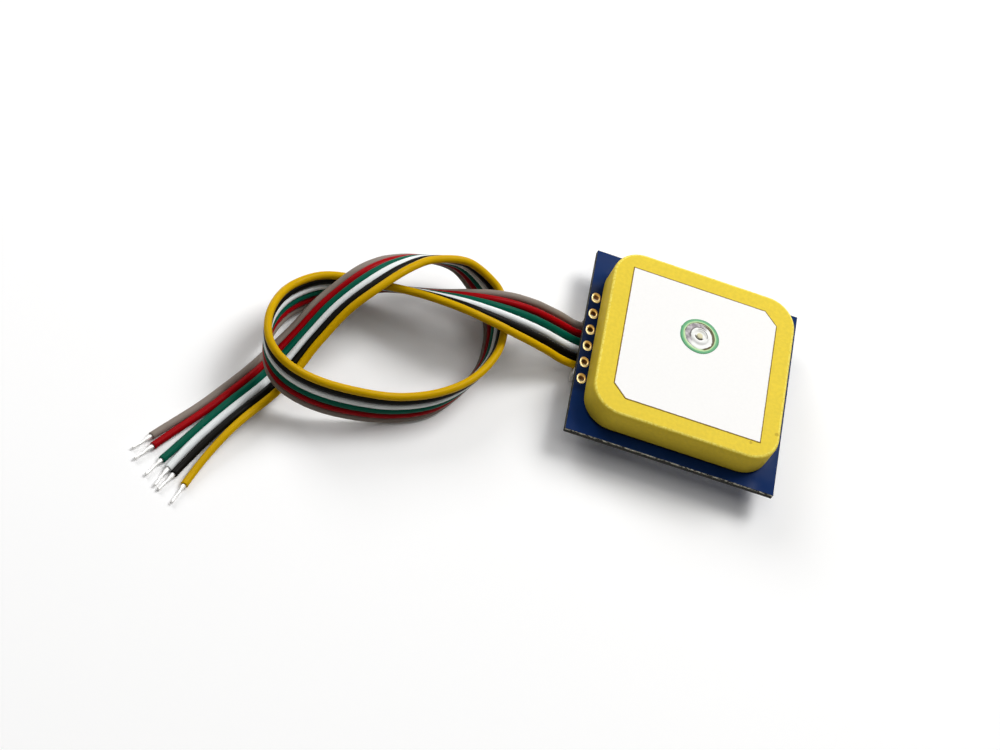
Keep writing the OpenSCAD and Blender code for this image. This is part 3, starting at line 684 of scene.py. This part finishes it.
    def strands(self):
        """Tinned strands: bright, with painted shade in faint lines that wind along the tip, and darker at
        the end.
        """
        f = Finish("tinned_strands", (0.86, 0.86, 0.85), 0.4, metallic=0.35, specular=0.2)
        around, along = f.axes(f.map)[:2]
        wind = f.sum("ADD", f.sum("MULTIPLY", around, 5 * TURN), f.sum("MULTIPLY", along, 9.0))
        # Painted shade in the grooves between the twisted strands
        lines = f.step(f.sum("SINE", wind), 0.5, 0.95)
        tin = f.blend(f.noise(0.5, 2), (0.78, 0.78, 0.77), (0.9, 0.9, 0.89))
        tin = f.blend(f.sum("MULTIPLY", lines, 0.2), tin, (0.4, 0.4, 0.4))
        f.colour(f.blend(f.step(along, 0.97, 0.99, 0, 0.2), tin, (0.3, 0.3, 0.3)))
        f.rough(lines, 0.34, 0.5)
        return f.bump(f.noise(0.12, 2), 0.003).material

    def plastic(self, word, colour):
        """Soft plastic jacket: even colour with faint clouds along the wire and a narrow gloss."""
        f = Finish(word + "_plastic", colour, 0.34, specular=0.05)
        clouds = f.noise(1.6, 3)
        f.colour(f.blend(clouds, shade(colour, 0.93), shade(colour, 1.06)))
        f.rough(f.noise(0.7), 0.28, 0.4)
        return f.bump(f.noise(0.3, 2), 0.005).material

    def execute(self, context):
        s = settings().lead
        places, ways, sides = self.wire_lines(s)
        grids = [self.tip(s, k, places[k, -1], ways[k, -1], sides[k, -1]) for k in range(len(WIRES))]
        tips = put_piece("stripped_tips", grids, self.strands(), ["bare_tips"])
        for k, word in enumerate(WIRES):
            finish = self.plastic(word, getattr(s, word)[:])
            grid = self.jacket(s, places[k], ways[k], sides[k])
            piece = put_piece("jacket_" + word, [grid], finish, ["wire_" + word])
            path = places[k] * MM
            long = float(np.linalg.norm(np.diff(path, axis=0), axis=1).sum())
        return {"FINISHED"}


class GPS_OT_antenna(bpy.types.Operator):
    """Make the ceramic block and paint its electrode"""

    bl_idname = "gps_module.antenna"
    bl_label = "Antenna"

    # Brown flecks near the right front corner of the block: place and radius
    FLECKS = (((8.75, -10.35), 0.14), ((11.95, -7.95), 0.2))

    def block(self, s, feed):
        """The block, as rings that run from the pin hole out under it, up the side and in over the top.

        A ring is the outline drawn in by an inset along its outward directions. The rounded edges change
        inset and height along quarter circles. On the flat faces a ring goes over to the pin hole's circle,
        as (1 - w) outline + w circle, and the hole's wall joins the last ring to the first.
        """
        low, high = box_mm("antenna_ceramic")
        edge, foot = s.edge_r / MM, s.foot_r / MM
        outline, out = rounded_square(high[0], s.corner_r / MM)
        way = np.arctan2(outline[:, 1] - feed[1], outline[:, 0] - feed[0])
        hole = feed + s.pin_hole_r / MM * np.stack([np.cos(way), np.sin(way)], -1)

        def face(z, inset, shares):
            """Rings of a flat face at that height, one for each share w."""
            rim = outline - inset * out
            flat = (1 - shares[:, None, None]) * rim + shares[:, None, None] * hole
            return np.concatenate([flat, np.full((*flat.shape[:2], 1), z)], -1)

        shares = np.array([1, 0.9, 0.75, 0.55, 0.35, 0.18])
        sides = np.vstack([
            arc((foot, low[2] + foot), foot, 270, 180),
            [[0, z] for z in np.linspace(low[2] + foot, high[2] - edge, 8)[1:-1]],
            arc((edge, high[2] - edge), edge, 180, 90, 10),
        ])
        flat = outline - sides[:, :1, None] * out
        wall = np.concatenate([flat, np.broadcast_to(sides[:, 1:, None], (*flat.shape[:2], 1))], -1)
        return np.concatenate([face(low[2], foot, shares), wall, face(high[2], edge, shares[::-1])])

    def ceramic(self, s):
        """Fired yellow ceramic: faint grains, two flecks, a painted highlight on the top edge and painted
        shade at the foot.
        """
        low, high = box_mm("antenna_ceramic")
        bottom, top = low[2], high[2]
        base = s.ceramic[:]
        f = Finish("yellow_ceramic", base, 0.5, specular=0.05)
        grains = f.noise(0.5, 4)
        tint = f.blend(f.step(grains, 0.3, 0.7), shade(base, 0.95), shade(base, 1.04))
        tint = f.blend(f.step(f.noise(6, 2), 0.35, 0.65, 0, 0.3), tint, shade(base, 0.93))
        # Painted highlight: a speckled paler band on the rounded top edge, for the light that the edge
        # catches
        edge_highlight = f.band(f.axes()[2], (top - 0.16) * MM, (top - 0.006) * MM, 0.004 * MM)
        edge_highlight = f.sum("MULTIPLY", edge_highlight, f.step(f.noise(0.3, 3), 0.35, 0.6, 0.1, 0.8))
        tint = f.blend(edge_highlight, tint, paint(255, 240, 120))
        # Painted shade: the sides darken towards the foot, where the board and the floor shade them
        foot = f.step(f.axes()[2], bottom * MM, (top - 0.6) * MM, 0.4, 0)
        tint = f.blend(foot, tint, shade(base, 0.42))
        for place, size in self.FLECKS:
            away = f.ragged(f.polar(place)[0], 0.2, 0.3)
            tint = f.blend(f.step(away, size, size + 0.12, 0.4, 0), tint, paint(140, 96, 30))
        f.colour(tint).rough(grains, 0.42, 0.56)
        return f.bump(f.noise(0.22, 4), 0.007).material

    def electrode(self, s):
        """Fired silver paste, with a thin brown line where it meets the ceramic.

        The distance inwards from the rim is the least of half - |x|, half - |y| and the distance from the
        two clipped corners, (2 half - clip - |x + y|) / root 2.
        """
        low, high = box_mm("antenna_electrode")
        middle, half = (low + high) / 2, (high - low)[0] / 2
        f = Finish("silver_paste", s.silver[:], 0.5, specular=0.03)
        x, y = (f.sum("SUBTRACT", c, m * MM) for c, m in zip(f.axes()[:2], middle[:2]))
        gaps = [f.sum("SUBTRACT", half * MM, f.sum("ABSOLUTE", c)) for c in (x, y)]
        slant = f.sum("SUBTRACT", (2 * half - s.clip / MM) * MM, f.sum("ABSOLUTE", f.sum("ADD", x, y)))
        inside = f.sum("MINIMUM", f.sum("MINIMUM", *gaps), f.sum("MULTIPLY", slant, math.sqrt(0.5)))
        mottle = f.noise(0.35, 3)
        rim = f.sum("ADD", inside, f.sum("MULTIPLY", f.sum("SUBTRACT", mottle, 0.5), 0.08 * MM))
        paste = f.blend(mottle, shade(s.silver, 0.97), shade(s.silver, 1.02))
        f.colour(f.blend(f.step(rim, s.outline * 0.7, s.outline * 1.25), s.line[:], paste))
        f.rough(f.noise(0.15), 0.36, 0.5)
        return f.bump(f.noise(0.12, 2), 0.004).material

    def execute(self, context):
        s = settings().antenna
        grid = self.block(s, foot_mm("feed_pin")[:2])
        put_piece("ceramic_block", [(grid, True)], self.ceramic(s), ["antenna_ceramic"])
        dress("antenna_electrode", self.electrode(s))
        return {"FINISHED"}


class GPS_OT_feed(bpy.types.Operator):
    """Make the printed ring, the solder pool and the pin at the feed point"""

    bl_idname = "gps_module.feed"
    bl_label = "Feed point"

    # Depth of the pin's domed top below the flat end of its solid
    SUNK = 0.3

    def flux(self, f, s, away, turn):
        """1 on the brown flux in the ring: wide at the right, thin at the back, gone at the front left."""
        pool = s.pool_r / MM
        front = f.sum("MULTIPLY", f.facing(turn, 305, 0.8, 1.0), 0.5)
        wide = f.sum("MAXIMUM", f.facing(turn, 35, 0.15, 0.95), front)
        reach = f.sum("ADD", away, f.sum("MULTIPLY", wide, 0.36))
        inner = f.step(reach, pool - 0.02, pool + 0.04)
        line = f.sum("MULTIPLY", inner, f.step(away, pool + 0.03, pool + 0.09, 1, 0))
        return f.sum("MULTIPLY", line, f.facing(turn, 55, -0.7, -0.45))

    def ring_print(self, s, centre):
        """Printed glaze: green, darker at its outer rim, pale at its inner side, brown under the flux."""
        green = s.ring[:]
        outer, pool = s.ring_r / MM, s.pool_r / MM
        f = Finish("green_glaze", green, 0.4, specular=0.05)
        away, turn = f.polar(centre)
        away = f.ragged(away, 0.35, 0.1)
        tint = f.blend(f.step(away, pool + 0.1, pool + 0.34), paint(196, 228, 172), green)
        tint = f.blend(f.step(away, outer - 0.2, outer - 0.04, 0, 0.85), tint, shade(green, 0.62))
        f.colour(f.blend(self.flux(f, s, away, turn), tint, paint(112, 104, 76)))
        mottle = f.noise(0.3, 3)
        f.rough(mottle, 0.3, 0.5)
        return f.bump(mottle, 0.01).material

    def solder(self, s, centre):
        """Solder with painted light: a white reflection, painted shade on the back slopes and in creases
        round the mound.
        """
        f = Finish("pool_solder", (0.9, 0.9, 0.88), 0.4, specular=0.1)
        away, turn = f.polar(centre)
        away = f.ragged(away, 0.4, 0.14)
        # Painted light: white stands for the reflected soft box, and a violet-grey patch on the back slopes
        # is painted shade
        film = f.sum("MULTIPLY", f.facing(turn, 145, -0.2, 0.4), f.step(away, 1.15, 1.4))
        dull = f.blend(f.step(f.noise(0.5, 3), 0.35, 0.65), paint(146, 140, 144), paint(204, 198, 200))
        tint = f.blend(film, paint(246, 246, 243), dull)
        # Painted shade in the creases round the mound, and in the last row a painted shadow beside the pin
        # Inner and outer radius, direction, the cosines where a crease starts and is full, and its colour
        shaded_creases = (
            (1.22, 1.36, 130, 0.1, 0.5, paint(96, 94, 92)),
            (0.9, 1.02, 50, 0.3, 0.6, paint(96, 94, 92)),
            (0.42, 0.64, 255, 0.1, 0.5, paint(50, 44, 32)),
        )
        for low, high, way, start, full, shade_tone in shaded_creases:
            crease = f.sum("MULTIPLY", f.band(away, low, high, 0.04), f.facing(turn, way, start, full))
            tint = f.blend(crease, tint, shade_tone)
        f.colour(f.blend(self.flux(f, s, away, turn), tint, paint(95, 88, 58)))
        f.rough(f.noise(0.8, 3), 0.22, 0.42)
        return f.bump(f.noise(0.35, 3), 0.02).material

    def brass(self, centre):
        """Pale tinned brass, with painted shade around the front of the pin's top."""
        f = Finish("brass_pin", (0.84, 0.8, 0.6), 0.4, specular=0.08)
        away, turn = f.polar(centre)
        rim = f.step(f.ragged(away, 0.2, 0.06), 0.36, 0.46)
        # Painted shade: the front side of the pin's top, away from the lamps, is darker
        dull = f.sum("MULTIPLY", rim, f.facing(turn, 255, 0.2, 0.7))
        f.colour(f.blend(dull, paint(226, 220, 184), paint(96, 86, 62))).rough(f.noise(0.3), 0.3, 0.5)
        return f.bump(f.noise(0.12, 2), 0.004).material

    def waver(self, q):
        """Share by which the ring's radii change: two sines of the angle, and a narrow nub at the left."""
        nub = 0.035 * np.exp(-(((q - math.radians(166)) / 0.07) ** 2))
        return 0.012 * np.sin(2 * q + 0.7) + 0.007 * np.sin(5 * q + 2) + nub

    def slump(self, q):
        """Share by which the solder's radii change: three sines of the angle."""
        return 0.03 * np.sin(2 * q + 2.1) + 0.018 * np.sin(3 * q) + 0.01 * np.sin(7 * q)

    def ring(self, s, centre):
        """The ring: the profile of a flat printed band with soft rims, turned about the feed point."""
        outer, pool = s.ring_r / MM, s.pool_r / MM
        profile = np.array([
            [outer, 0], [outer, 0.03], [outer - 0.05, 0.05], [outer - 0.3, 0.055], [pool + 0.1, 0.05],
            [pool + 0.02, 0.045], [pool - 0.04, 0.03], [pool - 0.04, 0],
        ])
        return turned_piece(profile, centre, cols=96, wobble=self.waver)

    def cup(self, s, centre):
        """The solder: the profile of a shallow pool with a raised rim and a mound round the pin, turned."""
        pool = s.pool_r / MM
        profile = np.array([
            [0.4, 0], [pool - 0.05, 0], [pool - 0.05, 0.05], [pool - 0.12, 0.08], [1.65, 0.055],
            [1.42, 0.06], [1.3, 0.08], [1.22, 0.14], [1.14, 0.2], [1.02, 0.24], [0.9, 0.25], [0.8, 0.22],
            [0.7, 0.14], [0.6, 0.09], [0.4, 0.08],
        ])
        return turned_piece(profile, centre, cols=72, wobble=self.slump)

    def pin(self, centre):
        """The pin: the profile of a rod with a blunt foot and a domed top, turned about its middle line."""
        low, high = box_mm("feed_pin")
        radius, tall = (high - low)[0] / 2, (high - low)[2] - self.SUNK
        profile = np.array([
            [0, 0], [0.6 * radius, 0.02], [0.92 * radius, 0.12], [radius, 0.25],
            [radius, tall - 0.32], [0.97 * radius, tall - 0.2], [0.8 * radius, tall - 0.07],
            [0.45 * radius, tall - 0.01], [0, tall],
        ])
        return turned_piece(profile, centre, cols=32)

    def execute(self, context):
        s = settings().antenna
        centre = foot_mm("feed_ring")
        ring, cup = (self.ring(s, centre), True), (self.cup(s, centre), True)
        put_piece("green_ring", [ring], self.ring_print(s, centre), ["feed_ring"])
        put_piece("solder_cup", [cup], self.solder(s, centre), ["feed_solder"], crease=60)
        centre = foot_mm("feed_pin")
        put_piece("domed_pin", [self.pin(centre)], self.brass(centre), ["feed_pin"])
        return {"FINISHED"}


class GPS_OT_board(bpy.types.Operator):
    """Make the plated holes and the rough front edge, and paint the board"""

    bl_idname = "gps_module.board"
    bl_label = "Circuit board"

    # Rates and lags of the sines that make the front edge ragged, and the rings along it
    WAVES = ((2.3, 0), (5.9, 1.3), (13.1, 2.2), (29.0, 4))
    EDGE_ROWS = 420
    # Dark strip of the coating: how far it goes past the row's ends, and where it fades beside the row
    STRIP_PAST = 1.85
    STRIP_FADE = (0.7, 1.2)

    def land(self, s, place, board, top):
        """One plated hole: an oval land on each face and the plating between them, as one closed ring.

        A point is radius (cos q, sin q), moved along the row by half the stretch, to the back for the back
        half of the turn and to the front for the front half. Near the hole the stretch fades and the rings
        are round. The board is given by the heights of its faces, and the top is the upper land's.
        """
        wide, bore, lift = s.land_w / MM / 2, s.hole_d / MM / 2, top - board[1]
        half = np.array([
            [bore + 0.01, 0], [wide, 0], [wide - 0.02, 0.55], [wide - 0.09, 1], [bore + 0.1, 1],
            [bore + 0.03, 0.6], [bore, 0],
        ])
        profile = np.vstack([
            np.column_stack([half[:, 0], board[1] + lift * half[:, 1]]),
            np.column_stack([half[::-1, 0], board[0] - lift * half[::-1, 1]]),
        ])
        q = np.linspace(0, TURN / 2, 25)
        q = np.concatenate([q, q + TURN / 2])
        back = np.where(np.arange(len(q)) < len(q) / 2, 0.5, -0.5) * s.land_stretch / MM
        fade = np.clip((profile[:, :1] - bore - 0.05) / (wide - bore - 0.1), 0, 1)
        x = place[0] + profile[:, :1] * np.cos(q)
        y = place[1] + profile[:, :1] * np.sin(q) + fade * back
        return np.stack([x, y, profile[:, 1:] + 0 * q], -1)

    def edge(self, s, low, high):
        """Rough fibres on the front edge: rings of eight points along it, pushed out by a ragged wave.

        The wave is a sum of sines of the place along the edge, squared so that it has peaks and smooth
        stretches, and it fades to the board's faces with the sine of the height.
        """
        x = np.linspace(low[0] + 0.02, high[0] - 0.02, self.EDGE_ROWS)
        heights = np.array([0.02, 0.18, 0.38, 0.6, 0.82, 0.97])
        wave = sum(np.sin(rate * x[:, None] + 9 * heights + lag) for rate, lag in self.WAVES)
        peaks = 0.12 + 0.88 * np.clip(0.5 + wave / 5, 0, 1) ** 2
        out = s.burr / MM * peaks * np.sin(np.pi * np.clip(heights, 0.08, 0.92))
        inside = np.full(len(x), low[1] + 0.05)
        y = np.column_stack([inside, low[1] - out, inside])
        z = low[2] + (high[2] - low[2]) * np.concatenate([[0.01], heights, [0.99]]) + 0 * y
        points = np.stack([x[:, None] + 0 * y, y, z], -1)
        ends = [points[k].mean(0) + 0 * points[:1] for k in (0, -1)]
        return np.concatenate([ends[0], points, ends[1]])

    def coating(self, s, low, high, holes):
        """Blue coating, darker round the row of holes, with tracks showing through it on the underside.

        Along the cut edge, painted dark for its shade, a thin ragged line of pale glass fibre shows just
        below the upper face.
        """
        blue, core = s.mask[:], s.core[:]
        f = Finish("blue_board", blue, 0.34, specular=0.05)
        x, y, z = f.axes()
        cut = f.sum("MAXIMUM", f.beyond(x, 0, high[0] - 0.02, 0.015), f.beyond(y, 0, high[1] - 0.02, 0.015))
        clouds = f.noise(3, 3)
        under = f.step(z, (low[2] + 0.1) * MM, (low[2] + 0.3) * MM, 1, 0)
        tracks = f.sum("MULTIPLY", self.tracks(f), under)
        mask = f.blend(clouds, shade(blue, 0.9), shade(blue, 1.1))
        row, first, last = holes[0][0], holes[0][1], holes[-1][1]
        past = f.beyond(y, (first + last) / 2, (last - first) / 2 + self.STRIP_PAST, 0.6)
        strip = f.step(x, *((row + fade) * MM for fade in self.STRIP_FADE), 1, 0)
        dark = f.sum("MULTIPLY", strip, f.sum("SUBTRACT", 1.0, past))
        mask = f.blend(f.sum("MULTIPLY", dark, 0.75), mask, shade(blue, 0.4))
        mask = f.blend(f.sum("MULTIPLY", tracks, 0.55), mask, paint(44, 82, 138))
        weave = f.noise(0.14, 3, (5, 5, 0.7))
        crest = f.band(z, (high[2] - 0.2) * MM, (high[2] - 0.05) * MM, 0.03 * MM)
        pale = f.sum("MULTIPLY", f.step(weave, 0.45, 0.6), crest)
        # Painted shade: the cut edges take the fibre's colour darkened to 0.14, with pale flecks at the top
        f.colour(f.blend(cut, mask, f.blend(pale, shade(core, 0.14), core)))
        f.rough(f.sum("MAXIMUM", f.sum("MULTIPLY", clouds, 0.9), cut), 0.3, 0.75)
        return f.bump(f.sum("ADD", f.sum("MULTIPLY", tracks, 1.5), f.noise(0.2, 2)), 0.012).material

    def gilding(self, s, low, high):
        """Gold plating with painted light: paler on the lit side of each land, painted shade on the other
        and in the hole.
        """
        gold = s.gold[:]
        f = Finish("plated_gold", gold, 0.36, metallic=0.6, specular=0.2)
        turn = f.sum("MULTIPLY", f.axes(f.map)[0], TURN)
        # Painted light and shade: pale gold on one side of each land, browner on the other
        tint = f.blend(f.facing(turn, 240, -0.8, 0.4), paint(206, 164, 88), gold)
        # Painted shade inside the hole, lighter on one side of its wall
        deep = f.band(f.axes()[2], (low[2] + 0.06) * MM, (high[2] - 0.04) * MM, 0.03 * MM)
        bore = f.blend(f.facing(turn, 240, -0.5, 0.8), paint(140, 92, 44), paint(222, 170, 96))
        tint = f.blend(deep, tint, bore)
        spots = f.noise(0.3, 3)
        f.colour(f.blend(f.step(spots, 0.5, 0.7, 0, 0.3), tint, paint(150, 104, 50)))
        f.rough(spots, 0.28, 0.44)
        return f.bump(f.noise(0.15, 2), 0.006).material

    def fibre(self, s, high):
        """Cut glass fibre, painted dark for the shade under the board's front edge, with pale ragged flecks
        along its top.
        """
        f = Finish("glass_fibre", s.core[:], 0.75, specular=0.2)
        weave = f.noise(0.16, 4, (2.5, 1, 0.8))
        crest = f.step(f.ragged(f.axes()[2], 0.4, 0.12 * MM), (high[2] - 0.3) * MM, (high[2] - 0.14) * MM)
        flecks = f.sum("MULTIPLY", f.step(weave, 0.44, 0.56), crest)
        # Painted shade: the fibre's own colour darkened to near black, with pale flecks left at the top
        f.colour(f.blend(flecks, shade(s.core, 0.08), paint(250, 246, 228)))
        return f.bump(weave, 0.03).material

    def tracks(self, f):
        """1 on the tracks under the coating: thin lines of two brick patterns, taking turns in patches."""
        lines = []
        for wide, tall, turn in ((6.4, 1.3, 0.0), (5.2, 1.9, TURN / 4)):
            inputs = {"Vector": f.place, "Rotation": (0, 0, turn), "Scale": (1 / MM,) * 3}
            vector = f.add("Mapping", inputs).outputs[0]
            inputs = {
                "Vector": vector, "Color1": (0, 0, 0), "Color2": (0, 0, 0), "Mortar": (1, 1, 1),
                "Scale": 1.0, "Mortar Size": 0.12, "Mortar Smooth": 0.2, "Brick Width": wide,
                "Row Height": tall,
            }
            lines.append(f.add("TexBrick", inputs).outputs["Color"])
        patch = f.step(f.noise(5, 1), 0.48, 0.52)
        rest = f.sum("SUBTRACT", 1.0, patch)
        return f.sum("ADD", f.sum("MULTIPLY", lines[0], patch), f.sum("MULTIPLY", lines[1], rest))

    def execute(self, context):
        s = settings().board
        low, high = box_mm("circuit_board")
        top = box_mm("hole_lands")[1][2]
        mounts = frame["record"]["mounts"]
        holes = [np.array(m["pos_m"]) / MM for m in mounts if m["name"].startswith("pin_hole")]
        grids = [(self.land(s, hole, (low[2], high[2]), top), True) for hole in holes]
        put_piece("gold_lands", grids, self.gilding(s, low, high), ["hole_lands"])
        put_piece("rough_edge", [self.edge(s, low, high)], self.fibre(s, high))
        dress("circuit_board", self.coating(s, low, high, holes))
        return {"FINISHED"}


class GPS_OT_underside(bpy.types.Operator):
    """Paint the shield can, the chips, the socket, the plug and the antenna's hidden layers"""

    bl_idname = "gps_module.underside"
    bl_label = "Underside"

    def resin(self):
        """Status light: a clear pale green lens on a white base, 0.3 mm thick, against the board."""
        f = Finish("clear_resin", paint(226, 234, 208), 0.2, specular=0.5)
        lens = f.beyond(f.axes()[2], box_mm("status_light")[1][2], 0.3)
        f.colour(f.blend(lens, paint(236, 234, 226), paint(206, 226, 170)))
        return f.rough(f.noise(0.3), 0.15, 0.3).material

    def execute(self, context):
        regulator, light = foot_mm("voltage_regulator")[1], foot_mm("status_light")[1]
        black, pale, buff = paint(30, 30, 32), paint(206, 204, 196), paint(178, 168, 148)
        cream, white = paint(232, 226, 206), paint(238, 238, 234)
        nylon = {"size": 1.5, "grain": 0.15, "depth": 0.006}
        tin = bright("tinned_contacts", (0.74, 0.74, 0.73), 0.32, size=0.5)
        steel = bright("tinned_sheet", (0.7, 0.71, 0.72), 0.34, size=0.9, stretch=(9, 1, 1), depth=0.003)
        film = satin("adhesive_film", pale, 0.7, cloud=0.06, size=0.9, grain=0.2, depth=0.01)
        chip = satin("black_moulding", black, 0.6, cloud=0.15, size=0.8, grain=0.1, depth=0.01)
        package = satin("bare_ceramic", buff, 0.5, cloud=0.08, size=0.4, grain=0.1, depth=0.01)
        finishes = {
            "adhesive_pad": film,
            "antenna_ground": bright("silver_ground", (0.86, 0.85, 0.82), 0.42, size=0.5),
            "feed_joint": bright("joint_solder", (0.8, 0.8, 0.79), 0.26, size=0.6, depth=0.02),
            "shield_can": steel,
            "receiver_chip": chip,
            "flash_chip": chip,
            "signal_amplifier": chip,
            "clock_oscillator": bright("gold_lid", (0.75, 0.62, 0.38), 0.3, size=0.7),
            "clock_crystal": steel,
            "signal_filter": package,
            "voltage_regulator": ended("black_regulator", black, 0.55, regulator, 0.82),
            "chip_capacitors": ended("brown_ceramic", paint(172, 136, 96), 0.5, regulator, 0.45),
            "chip_resistors": ended("black_film", paint(34, 34, 38), 0.45, light, 0.28),
            "status_light": self.resin(),
            "socket_housing": satin("natural_nylon", cream, 0.5, cloud=0.04, **nylon),
            "socket_contacts": tin,
            "socket_anchors": tin,
            "plug_housing": satin("white_nylon", white, 0.48, cloud=0.03, **nylon),
            "crimp_contacts": tin,
        }
        for node, finish in finishes.items():
            dress(node, finish)
        return {"FINISHED"}


GROUPS = (LeadSettings, AntennaSettings, BoardSettings, StageSettings, ModuleSettings)
BUILDERS = (GPS_OT_stage, GPS_OT_lead, GPS_OT_antenna, GPS_OT_feed, GPS_OT_board, GPS_OT_underside)


class GPS_PT_module(bpy.types.Panel):
    """Lists the module's pieces and settings"""

    bl_label = "Positioning Module"
    bl_space_type = "VIEW_3D"
    bl_region_type = "UI"
    bl_category = "Module"

    def draw(self, context):
        for builder in BUILDERS:
            self.layout.operator(builder.bl_idname)
        # The first two properties of every group are its type and its name
        for group in settings().bl_rna.properties.keys()[2:]:
            part = getattr(settings(), group)
            column = self.layout.column(heading=group.title())
            for key in part.bl_rna.properties.keys()[2:]:
                column.prop(part, key)


CLASSES = (*GROUPS, *BUILDERS, GPS_PT_module)


def register():
    """Adds the classes and the scene's settings."""
    for each in CLASSES:
        bpy.utils.register_class(each)
    bpy.types.Scene.positioning_module = PointerProperty(type=ModuleSettings)


def unregister():
    """Takes the classes and the settings away again."""
    del bpy.types.Scene.positioning_module
    for each in reversed(CLASSES):
        bpy.utils.unregister_class(each)


def main():
    """Builds the stage and the pieces in order."""
    register()
    bpy.ops.gps_module.stage()
    bpy.ops.gps_module.lead()
    bpy.ops.gps_module.antenna()
    bpy.ops.gps_module.feed()
    bpy.ops.gps_module.board()
    bpy.ops.gps_module.underside()


if __name__ == "__main__":
    main()
